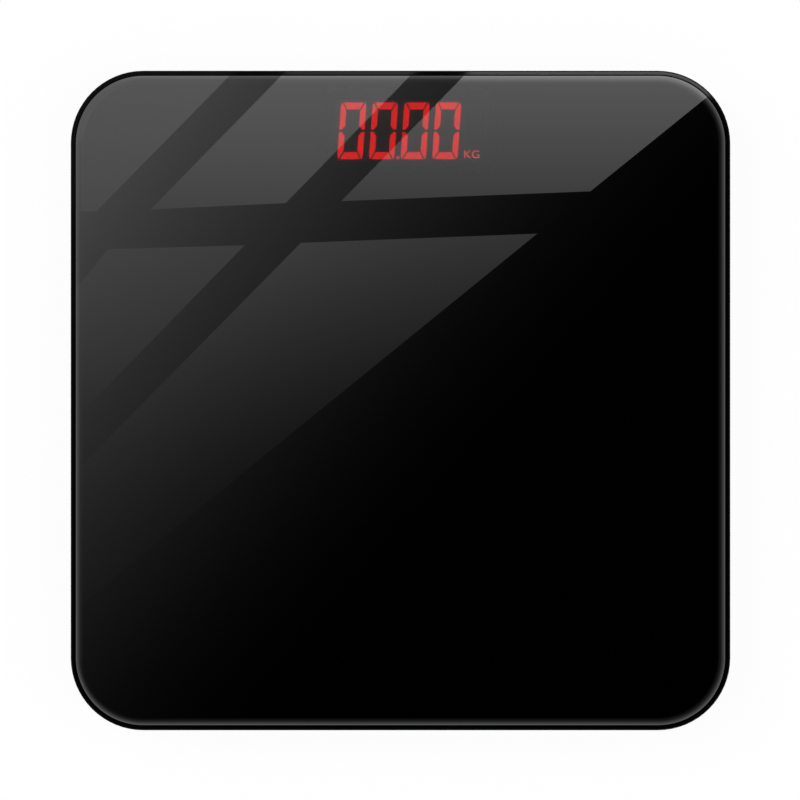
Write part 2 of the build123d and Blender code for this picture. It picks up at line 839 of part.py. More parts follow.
with BuildPart() as dark_segments:
    with BuildSketch(level(segment_z)):
        draw_segments("g")
    extrude(amount=segment_depth)
save(dark_segments, "dark_segments")

with BuildPart() as decimal_point:
    with BuildSketch(level(segment_z)):
        draw_point()
    extrude(amount=segment_depth)
save(decimal_point, "decimal_point")

with BuildPart() as unit_lamp:
    with BuildSketch(level(segment_z)):
        draw_unit()
    extrude(amount=segment_depth)
save(unit_lamp, "unit_lamp")

# Foam gasket that keeps the display's light in its window
with BuildPart() as display_gasket:
    with BuildSketch(level(seat_z, display_x, display_y)):
        Rectangle(display_width, display_depth)
        Rectangle(window_width, window_depth, mode=Mode.SUBTRACT)
    extrude(amount=tape_thickness)
save(display_gasket, "display_gasket")

# Pins that carry the display on the circuit board
pin_rows = display_depth - 2 * display_pin_inset
with BuildPart() as display_pins:
    with BuildSketch(level(display_z, display_x, display_y)):
        with GridLocations(display_pin_pitch, pin_rows, display_pin_count, 2):
            Rectangle(display_pin, display_pin)
    extrude(amount=-(board_thickness + display_pin_reach))
save(display_pins, "display_pins")

# Circuit board with holes for the pins and screws
with BuildPart() as circuit_board:
    with BuildSketch(level(board_z)):
        with Locations((0, board_y)):
            Rectangle(board_width, board_depth)
        with Locations(*screw_spots):
            RegularPolygon(board_hole_radius, screw_sides, mode=Mode.SUBTRACT)
        with Locations((display_x, display_y)):
            with GridLocations(display_pin_pitch, pin_rows, display_pin_count, 2):
                pin_hole = display_pin + 2 * display_pin_gap
                Rectangle(pin_hole, pin_hole, mode=Mode.SUBTRACT)
    extrude(amount=board_thickness)
save(circuit_board, "circuit_board")

with BuildPart() as board_screws:
    with BuildSketch(level(display_z)):
        with Locations(*screw_spots):
            RegularPolygon(screw_head_radius, screw_sides)
    extrude(amount=screw_head)
    with BuildSketch(level(display_z)):
        with Locations(*screw_spots):
            RegularPolygon(boss_hole_radius - screw_clear, screw_sides)
    extrude(amount=-screw_length)
save(board_screws, "board_screws")

# Chips and small parts on the board's upper face
with BuildPart() as driver_chip:
    with BuildSketch(level(display_z, chip_x, button_y)):
        Rectangle(chip_length, chip_width)
    extrude(amount=chip_height)
save(driver_chip, "driver_chip")

with BuildPart() as converter_chip:
    with BuildSketch(level(display_z, -chip_x, button_y)):
        Rectangle(converter_side, converter_side)
    extrude(amount=chip_height)
save(converter_chip, "converter_chip")

with BuildPart() as small_parts:
    with BuildSketch(level(display_z)):
        for side in (-1, 1):
            with Locations((side * passive_x, button_y)):
                with GridLocations(passive_pitch, passive_pitch, 2, passive_count // 2):
                    Rectangle(passive_length, passive_width)
    extrude(amount=passive_height)
save(small_parts, "small_parts")

# Unit switch under the board, and the button that pushes it through the tray's floor
with BuildPart() as unit_switch:
    with BuildSketch(level(board_z - switch_body, button_x, button_y)):
        Rectangle(switch_side, switch_side)
    extrude(amount=switch_body)
    with BuildSketch(level(board_z - switch_body, button_x, button_y)):
        Circle(plunger_radius + plunger_gap)
    extrude(amount=plunger_inside + button_travel + plunger_room, mode=Mode.SUBTRACT)
save(unit_switch, "unit_switch")

with BuildPart() as switch_plunger:
    with BuildSketch(level(plunger_tip_z, button_x, button_y)):
        Circle(plunger_radius)
    extrude(amount=plunger_proud + plunger_inside)
save(switch_plunger, "switch_plunger")

with BuildPart() as unit_button:
    with BuildSketch(level(underside_z + button_sink, button_x, button_y)):
        Circle(button_radius)
    extrude(amount=floor_thickness - button_sink)
    chamfer(unit_button.edges().group_by(Axis.Z)[0], button_chamfer)
    flange_side = 2 * (button_radius + button_flange)
    with BuildSketch(level(floor_z, button_x, button_y)):
        Rectangle(flange_side, flange_side)
    extrude(amount=button_flange_thickness)
    with BuildSketch(level(floor_z + button_flange_thickness, button_x, button_y)):
        Rectangle(button_stem, button_stem)
    extrude(amount=plunger_tip_z - floor_z - button_flange_thickness)
save(unit_button, "unit_button")
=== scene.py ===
"""Looks of the digital bathroom scale: its pieces, its finishes, and a studio seen from above.

Metres throughout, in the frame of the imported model: the origin is on the floor under the middle of
the platform, +Z is up and +Y points at the edge that holds the display.
"""

import logging
import math
from dataclasses import dataclass, field
from enum import Enum
from typing import Any, Callable, Iterable

import bpy
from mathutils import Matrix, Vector


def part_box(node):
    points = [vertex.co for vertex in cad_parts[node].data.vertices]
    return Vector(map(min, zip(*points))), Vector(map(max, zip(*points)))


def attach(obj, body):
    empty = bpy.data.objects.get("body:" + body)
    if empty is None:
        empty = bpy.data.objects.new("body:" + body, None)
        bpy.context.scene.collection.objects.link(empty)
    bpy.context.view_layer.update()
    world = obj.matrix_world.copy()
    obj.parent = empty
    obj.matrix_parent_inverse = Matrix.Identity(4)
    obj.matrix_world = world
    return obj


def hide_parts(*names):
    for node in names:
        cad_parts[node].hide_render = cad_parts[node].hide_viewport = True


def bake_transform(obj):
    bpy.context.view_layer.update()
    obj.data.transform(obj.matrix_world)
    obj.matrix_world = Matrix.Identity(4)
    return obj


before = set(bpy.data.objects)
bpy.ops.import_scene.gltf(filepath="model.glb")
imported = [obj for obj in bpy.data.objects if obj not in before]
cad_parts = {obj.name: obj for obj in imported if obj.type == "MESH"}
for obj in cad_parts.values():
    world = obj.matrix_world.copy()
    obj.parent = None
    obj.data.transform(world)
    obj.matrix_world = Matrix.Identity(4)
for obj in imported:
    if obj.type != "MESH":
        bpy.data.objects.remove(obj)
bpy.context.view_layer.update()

MM = 0.001
PLATFORM_BODY = "platform"
FACING = 0.99
CAST_MERGE = 0.002 * MM
MERGE = 0.0005 * MM
NODES: dict[str, bpy.types.Object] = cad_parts
log = logging.getLogger("bathroom_scale")

Triple = tuple[float, float, float]
Colour = Triple
Pixel = tuple[float, float]
PlaceTest = Callable[[Vector, Vector], bool]


class Corner(Enum):
    """The platform's corners, each with the signs of its X and Y."""

    FRONT_LEFT = (-1, 1)
    FRONT_RIGHT = (1, 1)
    REAR_LEFT = (-1, -1)
    REAR_RIGHT = (1, -1)

    @property
    def word(self) -> str:
        """The corner's name as the nodes write it."""
        return self.name.lower()

    @property
    def body(self) -> str:
        """The body that the corner's foot moves with."""
        return f"{self.word}_foot"


@dataclass(frozen=True)
class Bend:
    """A foot and the start and end of a stretch: points before the start would follow the platform,
    and points after the end the foot, though nothing here moves them.
    """

    foot: str
    start: Vector
    end: Vector


class Signal:
    """A shader value that takes part in Python sums."""

    def __init__(self, shader: "Shader", socket: bpy.types.NodeSocket) -> None:
        """Keeps the socket and the shader that it belongs to."""
        self.shader = shader
        self.socket = socket

    def join(self, operation: str, other: "Signal | float", swap: bool = False) -> "Signal":
        """Adds one Math node for this value and another.

        Args:
            operation: the Math node's operation.
            other: the second value.
            swap: True where the other value comes first.

        Returns:
            The node's result.
        """
        first, second = (other, self) if swap else (self, other)
        inputs = {0: first, 1: second}
        made = self.shader.node("ShaderNodeMath", {"operation": operation}, inputs)
        return Signal(self.shader, made.outputs[0])

    def __add__(self, other: "Signal | float") -> "Signal":
        """This value plus another."""
        return self.join("ADD", other)

    __radd__ = __add__

    def __sub__(self, other: "Signal | float") -> "Signal":
        """This value less another."""
        return self.join("SUBTRACT", other)

    def __rsub__(self, other: "Signal | float") -> "Signal":
        """Another value less this one."""
        return self.join("SUBTRACT", other, swap=True)

    def __mul__(self, other: "Signal | float") -> "Signal":
        """This value times another."""
        return self.join("MULTIPLY", other)

    __rmul__ = __mul__

    def __truediv__(self, other: "Signal | float") -> "Signal":
        """This value over another."""
        return self.join("DIVIDE", other)

    def __pow__(self, other: "Signal | float") -> "Signal":
        """This value raised to another."""
        return self.join("POWER", other)

    def size(self) -> "Signal":
        """The value without its sign."""
        return self.join("ABSOLUTE", 0.0)

    def above(self, limit: float) -> "Signal":
        """One where the value is over the limit, else zero."""
        return self.join("GREATER_THAN", limit)

    def clipped(self) -> "Signal":
        """The value held between zero and one."""
        return self.join("MAXIMUM", 0.0).join("MINIMUM", 1.0)

    def either(self, other: "Signal") -> "Signal":
        """The larger of two values."""
        return self.join("MAXIMUM", other)


class Shader:
    """Builds one node tree, for a material or for the world."""

    def __init__(self, tree: bpy.types.NodeTree, output: str) -> None:
        """Empties the tree and adds its output node.

        Args:
            tree: the node tree.
            output: the type of its output node.
        """
        self.tree = tree
        tree.nodes.clear()
        self.output = tree.nodes.new(output)

    @classmethod
    def material(cls, name: str) -> tuple["Shader", bpy.types.Material]:
        """Makes a new material.

        Args:
            name: the material's name.

        Returns:
            The shader that fills it, and the material.
        """
        made = bpy.data.materials.new(name)
        made.use_nodes = True
        return cls(made.node_tree, "ShaderNodeOutputMaterial"), made

    def node(
        self,
        kind: str,
        settings: dict[str, Any] | None = None,
        inputs: dict[str | int, Any] | None = None,
    ) -> bpy.types.Node:
        """Adds a node.

        Args:
            kind: the node's type.
            settings: what is set on the node itself; "stops" go to a colour ramp.
            inputs: the value, or the signal or socket to link, for each of its inputs.

        Returns:
            The new node.
        """
        made = self.tree.nodes.new(kind)
        for key, value in (settings or {}).items():
            if key == "stops":
                self.set_stops(made, value)
            else:
                setattr(made, key, value)
        for key, value in (inputs or {}).items():
            if isinstance(value, Signal):
                value = value.socket
            if isinstance(value, bpy.types.NodeSocket):
                self.tree.links.new(value, made.inputs[key])
            else:
                made.inputs[key].default_value = value
        return made

    @staticmethod
    def set_stops(ramp: bpy.types.Node, stops: Iterable[tuple[float, Colour]]) -> None:
        """Gives a colour ramp its stops.

        Args:
            ramp: the ramp's node.
            stops: the place and the colour of each stop.
        """
        elements = ramp.color_ramp.elements
        for index, (place, colour) in enumerate(stops):
            stop = elements[index] if index < len(elements) else elements.new(place)
            stop.position = place
            stop.color = (*colour, 1.0)

    def signal(self, node: bpy.types.Node, output: str | int = 0) -> Signal:
        """One of a node's outputs as a value."""
        return Signal(self, node.outputs[output])

    def place(self) -> bpy.types.NodeSocket:
        """The point on the piece, in metres."""
        return self.node("ShaderNodeTexCoord").outputs["Object"]

    def axes(self) -> tuple[Signal, Signal, Signal]:
        """The point's X, Y and Z."""
        split = self.node("ShaderNodeSeparateXYZ", inputs={0: self.place()})
        return self.signal(split, 0), self.signal(split, 1), self.signal(split, 2)

    def noise(
        self, size: float, detail: float = 2.0, stretch: Triple = (1.0, 1.0, 1.0)
    ) -> Signal:
        """Soft noise over the piece.

        Args:
            size: the width of its patches in metres.
            detail: how many finer layers it has.
            stretch: how much longer than wide its patches are along each axis.

        Returns:
            A value from zero to one.
        """
        scale = tuple(1 / (size * s) for s in stretch)
        place = self.node("ShaderNodeMapping", inputs={"Vector": self.place(), "Scale": scale})
        inputs = {"Vector": place.outputs[0], "Scale": 1.0, "Detail": detail}
        return self.signal(self.node("ShaderNodeTexNoise", inputs=inputs))

    def cells(self, size: float) -> Signal:
        """The distance to the nearest of many scattered points, in steps of the given size."""
        inputs = {"Vector": self.place(), "Scale": 1 / size}
        return self.signal(self.node("ShaderNodeTexVoronoi", inputs=inputs), "Distance")

    def blend(self, share: Signal | float, first: Any, second: Any) -> bpy.types.NodeSocket:
        """Mixes two colours.

        Args:
            share: how much of the second colour there is.
            first: a colour or a colour socket.
            second: a colour or a colour socket.

        Returns:
            The mixed colour.
        """
        whole = [(*c, 1.0) if isinstance(c, tuple) else c for c in (first, second)]
        inputs = {0: share, 6: whole[0], 7: whole[1]}
        return self.node("ShaderNodeMix", {"data_type": "RGBA"}, inputs).outputs[2]

    def varied(
        self, share: Signal, colour: Colour, dark: float, light: float
    ) -> bpy.types.NodeSocket:
        """A colour that wanders between a darker and a lighter shade of itself.

        Args:
            share: how far it is towards the lighter shade.
            colour: the plain colour.
            dark: the darker shade's share of the plain colour.
            light: the lighter shade's share of it.

        Returns:
            The colour.
        """
        return self.blend(share, shade(colour, dark), shade(colour, light))

    def bump(self, height: Signal, depth: float) -> bpy.types.NodeSocket:
        """The surface's direction with a relief of the given depth in metres."""
        made = self.node("ShaderNodeBump", inputs={"Height": height, "Distance": depth})
        return made.outputs[0]

    def principled(self, inputs: dict[str, Any]) -> None:
        """Adds the main surface shader and links it to the output."""
        self.emit(self.node("ShaderNodeBsdfPrincipled", inputs=inputs))

    def mixed(
        self, share: Signal, first: bpy.types.Node, second: bpy.types.Node
    ) -> bpy.types.Node:
        """Mixes two surface shaders.

        Args:
            share: how much of the second there is.
            first: the first shader's node.
            second: the second shader's node.

        Returns:
            The mix's node.
        """
        inputs = {0: share, 1: first.outputs[0], 2: second.outputs[0]}
        return self.node("ShaderNodeMixShader", inputs=inputs)

    def added(self, first: bpy.types.Node, second: bpy.types.Node) -> bpy.types.Node:
        """Adds up two surface shaders."""
        inputs = {0: first.outputs[0], 1: second.outputs[0]}
        return self.node("ShaderNodeAddShader", inputs=inputs)

    def emit(self, node: bpy.types.Node) -> None:
        """Links a shader to the output."""
        self.tree.links.new(node.outputs[0], self.output.inputs["Surface"])


def shade(colour: Colour, share: float) -> Colour:
    """A colour made darker or lighter by a share."""
    return (colour[0] * share, colour[1] * share, colour[2] * share)


@dataclass(frozen=True)
class Finish:
    """A finish by name, which becomes a material on first use."""

    name: str

    def material(self) -> bpy.types.Material:
        """The finish's material, which is made on first use.

        Returns:
            The material.
        """
        made = bpy.data.materials.get(self.name)
        if made is None:
            shader, made = Shader.material(self.name)
            self.fill(shader)
        return made

    def fill(self, shader: Shader) -> None:
        """Adds the finish's nodes to a new material."""
        raise NotImplementedError


@dataclass(frozen=True)
class MouldedPlastic(Finish):
    """Injection-moulded plastic with a spark-eroded grain."""

    colour: Colour
    roughness: float = 0.42
    grain: float = 0.35 * MM
    depth: float = 0.03 * MM
    flow: float = 30 * MM
    dark: float = 0.8
    light: float = 1.2
    gloss: float = 0.08
    flow_dulls: float = 0.1
    grain_dulls: float = 0.06

    def fill(self, shader: Shader) -> None:
        """Adds the finish's nodes.

        Args:
            shader: what fills the new material.
        """
        grain = shader.cells(self.grain)
        flow = shader.noise(self.flow)
        dulled = self.flow_dulls * flow + self.grain_dulls * grain
        shader.principled({
            "Base Color": shader.varied(flow, self.colour, self.dark, self.light),
            "Roughness": self.roughness - self.gloss + dulled,
            "Normal": shader.bump(grain, self.depth),
        })


@dataclass(frozen=True)
class TrayPlastic(Finish):
    """The tray's black plastic: dull on the rim, polished down the wall and grained below."""

    colour: Colour = (0.001, 0.001, 0.0011)
    grain_colour: Colour = (0.016, 0.016, 0.0168)
    rim_from: float = 21.85 * MM
    polished_from: float = 12 * MM
    grained_to: float = 10.5 * MM
    polish: float = 0.04
    grain_roughness: float = 0.45
    grain: float = 0.45 * MM
    depth: float = 0.035 * MM
    flow: float = 40 * MM
    flow_from: float = 0.85
    flow_span: float = 0.3
    flow_dulls: float = 0.08
    specular: float = 0.05
    coat: float = 0.3
    coat_lost: float = 0.16
    coat_roughness: float = 0.2

    def fill(self, shader: Shader) -> None:
        """Adds the finish's nodes.

        Args:
            shader: what fills the new material.
        """
        height = shader.axes()[2]
        fall = self.polished_from - self.grained_to
        grained = ((self.polished_from - height) / fall).clipped()
        grain = shader.cells(self.grain)
        flow = shader.noise(self.flow)
        share = grained * (self.flow_from + self.flow_span * flow)
        dulled = self.grain_roughness - self.polish + self.flow_dulls * flow
        below_rim = 1.0 - height.above(self.rim_from)
        shader.principled({
            "Base Color": shader.blend(share, self.colour, self.grain_colour),
            "Roughness": self.polish + grained * dulled,
            "Normal": shader.bump(grain * grained, self.depth),
            "Specular IOR Level": self.specular,
            "Coat Weight": below_rim * (self.coat - self.coat_lost * grained),
            "Coat Roughness": self.coat_roughness,
        })


@dataclass(frozen=True)
class Rubber(Finish):
    """Matt rubber or foam with a dusty bloom."""

    colour: Colour
    roughness: float = 0.78
    pore: float = 0.5 * MM
    depth: float = 0.05 * MM
    bloom: float = 9 * MM
    bloom_detail: float = 4.0
    bloom_dulls: float = 0.2
    dark: float = 0.75
    light: float = 1.35
    gloss: float = 0.1
    specular: float = 0.35

    def fill(self, shader: Shader) -> None:
        """Adds the finish's nodes.

        Args:
            shader: what fills the new material.
        """
        bloom = shader.noise(self.bloom, self.bloom_detail)
        pore = shader.noise(self.pore)
        shader.principled({
            "Base Color": shader.varied(bloom, self.colour, self.dark, self.light),
            "Roughness": self.roughness - self.gloss + self.bloom_dulls * bloom,
            "Normal": shader.bump(pore, self.depth),
            "Specular IOR Level": self.specular,
        })


@dataclass(frozen=True)
class PlatedMetal(Finish):
    """Rolled and plated metal with fine marks along one axis."""

    colour: Colour
    roughness: float = 0.28
    stretch: Triple = (40.0, 1.0, 1.0)
    mark: float = 0.25 * MM
    mark_detail: float = 4.0
    mark_depth: float = 0.004 * MM
    mark_dulls: float = 0.16
    cloud: float = 6 * MM
    dark: float = 0.88
    gloss: float = 0.08

    def fill(self, shader: Shader) -> None:
        """Adds the finish's nodes.

        Args:
            shader: what fills the new material.
        """
        marks = shader.noise(self.mark, self.mark_detail, self.stretch)
        cloud = shader.noise(self.cloud)
        shader.principled({
            "Base Color": shader.varied(cloud, self.colour, self.dark, 1.0),
            "Metallic": 1.0,
            "Roughness": self.roughness - self.gloss + self.mark_dulls * marks,
            "Normal": shader.bump(marks, self.mark_depth),
        })


@dataclass(frozen=True)
class BackedGlass(Finish):
    """Polished glass that the print on its back makes black, and that is smoky over the display."""

    colour: Colour = (0.0001, 0.0001, 0.00012)
    index: float = 1.5
    smoke: float = 0.26
    opening: float = 1 * MM
    fade: float = 4 * MM
    polish: float = 0.002
    wipe: float = 25 * MM
    wipe_detail: float = 3.0
    wipe_stretch: Triple = (1.0, 3.0, 1.0)
    wipe_dulls: float = 0.006
    dark: float = 0.8
    light: float = 1.2

    def fill(self, shader: Shader) -> None:
        """Adds the finish's nodes.

        Args:
            shader: what fills the new material.
        """
        wipe = shader.noise(self.wipe, self.wipe_detail, self.wipe_stretch)
        face = shader.node("ShaderNodeBsdfPrincipled", inputs={
            "Base Color": shader.varied(wipe, self.colour, self.dark, self.light),
            "Roughness": self.polish + self.wipe_dulls * wipe,
            "IOR": self.index,
        })
        smoke = (self.smoke, self.smoke, self.smoke, 1.0)
        smoky = shader.node("ShaderNodeBsdfTransparent", inputs={"Color": smoke})
        seen = shader.added(face, smoky)
        clear = shader.node("ShaderNodeBsdfTransparent")
        x, y, z = shader.axes()
        low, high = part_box("display_window")
        middle, half = (low + high) / 2, (high - low) / 2
        outside = ((x - middle.x).size() - half.x).either((y - middle.y).size() - half.y)
        share = 1.0 - ((outside - self.opening) / self.fade).clipped()
        upper = shader.mixed(share, face, seen)
        lower = shader.mixed(outside.above(0.0), clear, face)
        half_way = sum(corner.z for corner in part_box("glass_platform")) / 2
        shader.emit(shader.mixed(z.above(half_way), lower, upper))


@dataclass(frozen=True)
class PrintedFilm(Finish):
    """Opaque black print, wetted to the glass so that it hardly shines."""

    colour: Colour
    roughness: float = 0.5
    mottle: float = 3 * MM
    mottle_detail: float = 4.0
    mottle_dulls: float = 0.2
    dark: float = 0.7
    light: float = 1.3

    def fill(self, shader: Shader) -> None:
        """Adds the finish's nodes.

        Args:
            shader: what fills the new material.
        """
        mottle = shader.noise(self.mottle, self.mottle_detail)
        shader.principled({
            "Base Color": shader.varied(mottle, self.colour, self.dark, self.light),
            "Roughness": self.roughness + self.mottle_dulls * mottle,
            "Specular IOR Level": 0.0,
        })


@dataclass(frozen=True)
class TintedFilm(Finish):
    """Smoky film that lets the lamps through and scatters a little of their light."""

    tint: Colour
    scatter: float = 0.06
    mottle: float = 2 * MM
    mottle_from: float = 0.9
    mottle_span: float = 0.2

    def fill(self, shader: Shader) -> None:
        """Adds the finish's nodes.

        Args:
            shader: what fills the new material.
        """
        mottle = shader.noise(self.mottle)
        tint = (*self.tint, 1.0)
        clear = shader.node("ShaderNodeBsdfTransparent", inputs={"Color": tint})
        spread = shader.node("ShaderNodeBsdfTranslucent", inputs={"Color": tint})
        share = self.scatter * (self.mottle_from + self.mottle_span * mottle)
        shader.emit(shader.mixed(share, clear, spread))


@dataclass(frozen=True)
class LampResin(Finish):
    """Cast red resin, lit from below or dark."""

    colour: Colour
    glow: float
    patch: float = 4 * MM
    patch_dulls: float = 0.1
    dark: float = 0.88
    light: float = 1.12
    resin: Colour = (0.02, 0.002, 0.002)
    resin_light: float = 1.5
    roughness: float = 0.35
    specular: float = 0.1

    def fill(self, shader: Shader) -> None:
        """Adds the finish's nodes.

        Args:
            shader: what fills the new material.
        """
        patch = shader.noise(self.patch)
        shader.principled({
            "Base Color": shader.varied(patch, self.resin, 1.0, self.resin_light),
            "Roughness": self.roughness + self.patch_dulls * patch,
            "Specular IOR Level": self.specular,
            "Emission Color": shader.varied(patch, self.colour, self.dark, self.light),
            "Emission Strength": self.glow,
        })


@dataclass(frozen=True)
class SolderMask(Finish):
    """Green board lacquer over copper tracks that run aslant in patches."""

    colour: Colour
    track: Colour
    pitch: float = 2.4 * MM
    lean: float = 0.5
    sway: float = 9 * MM
    sway_patch: float = 14 * MM
    gap_share: float = 0.62
    track_patch: float = 22 * MM
    track_from: float = 0.5
    track_share: float = 0.8
    weave: float = 0.4 * MM
    weave_dulls: float = 0.12
    weave_share: float = 0.1
    roughness: float = 0.3
    depth: float = 0.03 * MM

    def fill(self, shader: Shader) -> None:
        """Adds the finish's nodes.

        Args:
            shader: what fills the new material.
        """
        x, y, _ = shader.axes()
        sway = shader.noise(self.sway_patch) * self.sway
        lanes = (x + y * self.lean + sway) / self.pitch
        stripe = lanes.join("FRACT", 0.0).above(self.gap_share)
        tracks = stripe * shader.noise(self.track_patch).above(self.track_from)
        weave = shader.noise(self.weave)
        shader.principled({
            "Base Color": shader.blend(tracks * self.track_share, self.colour, self.track),
            "Roughness": self.roughness + self.weave_dulls * weave,
            "Normal": shader.bump(tracks + self.weave_share * weave, self.depth),
        })


@dataclass(frozen=True)
class CellSleeve(Finish):
    """A dry cell's printed sleeve, with one band and bare steel at both ends."""

    middle: float
    sleeve_half: float
    band_from: float
    facing: int
    colour: Colour = (0.62, 0.63, 0.62)
    band: Colour = (0.06, 0.2, 0.12)
    steel: Colour = (0.7, 0.7, 0.69)
    scuff: float = 1.5 * MM
    scuff_detail: float = 4.0
    scuff_share: float = 0.25
    scuff_dulls: float = 0.1
    scuff_depth: float = 0.006 * MM
    worn: float = 0.6
    roughness: float = 0.3
    steel_gloss: float = 0.06

    def fill(self, shader: Shader) -> None:
        """Adds the finish's nodes.

        Args:
            shader: what fills the new material.
        """
        along = (shader.axes()[0] - self.middle) * float(self.facing)
        bare = along.above(self.sleeve_half).either(1.0 - along.above(-self.sleeve_half))
        scuff = shader.noise(self.scuff, self.scuff_detail)
        sleeve = shader.blend(along.above(self.band_from), self.colour, self.band)
        worn = shader.blend(scuff * self.scuff_share, sleeve, shade(self.colour, self.worn))
        shader.principled({
            "Base Color": shader.blend(bare, worn, self.steel),
            "Metallic": bare,
            "Roughness": self.roughness + self.scuff_dulls * scuff - self.steel_gloss * bare,
            "Normal": shader.bump(scuff, self.scuff_depth),
        })


class Look(Enum):
    """Every finish on the scale."""

    GLASS = BackedGlass("look_glass")
    PRINT = PrintedFilm("look_print", (0.0008, 0.0008, 0.0009))
    WINDOW = TintedFilm("look_window", (0.86, 0.85, 0.85))
    TRAY = TrayPlastic("look_tray")
    DOOR = TrayPlastic("look_door", grain_roughness=0.4)
    FOOT = MouldedPlastic("look_foot", (0.022, 0.022, 0.023))
    PAD = Rubber("look_pad", (0.05, 0.05, 0.05))
    FOAM = Rubber("look_foam", (0.03, 0.03, 0.03), pore=0.8 * MM, depth=0.1 * MM)
    SEALANT = Rubber("look_sealant", (0.78, 0.78, 0.74), roughness=0.5)
    STEEL = PlatedMetal("look_cell_steel", (0.62, 0.62, 0.61))
    CONTACT = PlatedMetal(
        "look_contact", (0.78, 0.76, 0.72), roughness=0.2, stretch=(1.0, 1.0, 30.0)
    )
    PIN = PlatedMetal("look_pin", (0.72, 0.72, 0.71), stretch=(1.0, 1.0, 30.0))
    SCREW = PlatedMetal("look_screw", (0.58, 0.58, 0.57), stretch=(1.0, 1.0, 1.0))
    LEAD = MouldedPlastic("look_lead", (0.55, 0.03, 0.025), roughness=0.5, depth=0.01 * MM)
    SUPPLY = MouldedPlastic("look_supply", (0.03, 0.03, 0.03), roughness=0.5, depth=0.01 * MM)
    HOUSING = MouldedPlastic("look_housing", (0.0025, 0.0025, 0.0026), roughness=0.7)
    LIT = LampResin("look_lit", (1.0, 0.004, 0.002), 2.95)
    UNIT = LampResin("look_unit", (1.0, 0.085, 0.055), 2.5, patch=2 * MM)
    POINT = LampResin("look_point", (1.0, 0.03, 0.1), 1.9)
    UNLIT = LampResin("look_unlit", (1.0, 0.01, 0.006), 0.0)
    BOARD = SolderMask("look_board", (0.012, 0.11, 0.04), (0.03, 0.2, 0.07))
    CHIP = MouldedPlastic("look_chip", (0.015, 0.015, 0.016), roughness=0.55, grain=0.2 * MM)
    PASSIVE = MouldedPlastic(
        "look_passive", (0.32, 0.24, 0.16), roughness=0.5, grain=0.15 * MM
    )
    BUTTON = MouldedPlastic("look_button", (0.09, 0.09, 0.095), roughness=0.38)
    MARK = MouldedPlastic("look_mark", (0.35, 0.35, 0.36), roughness=0.5)


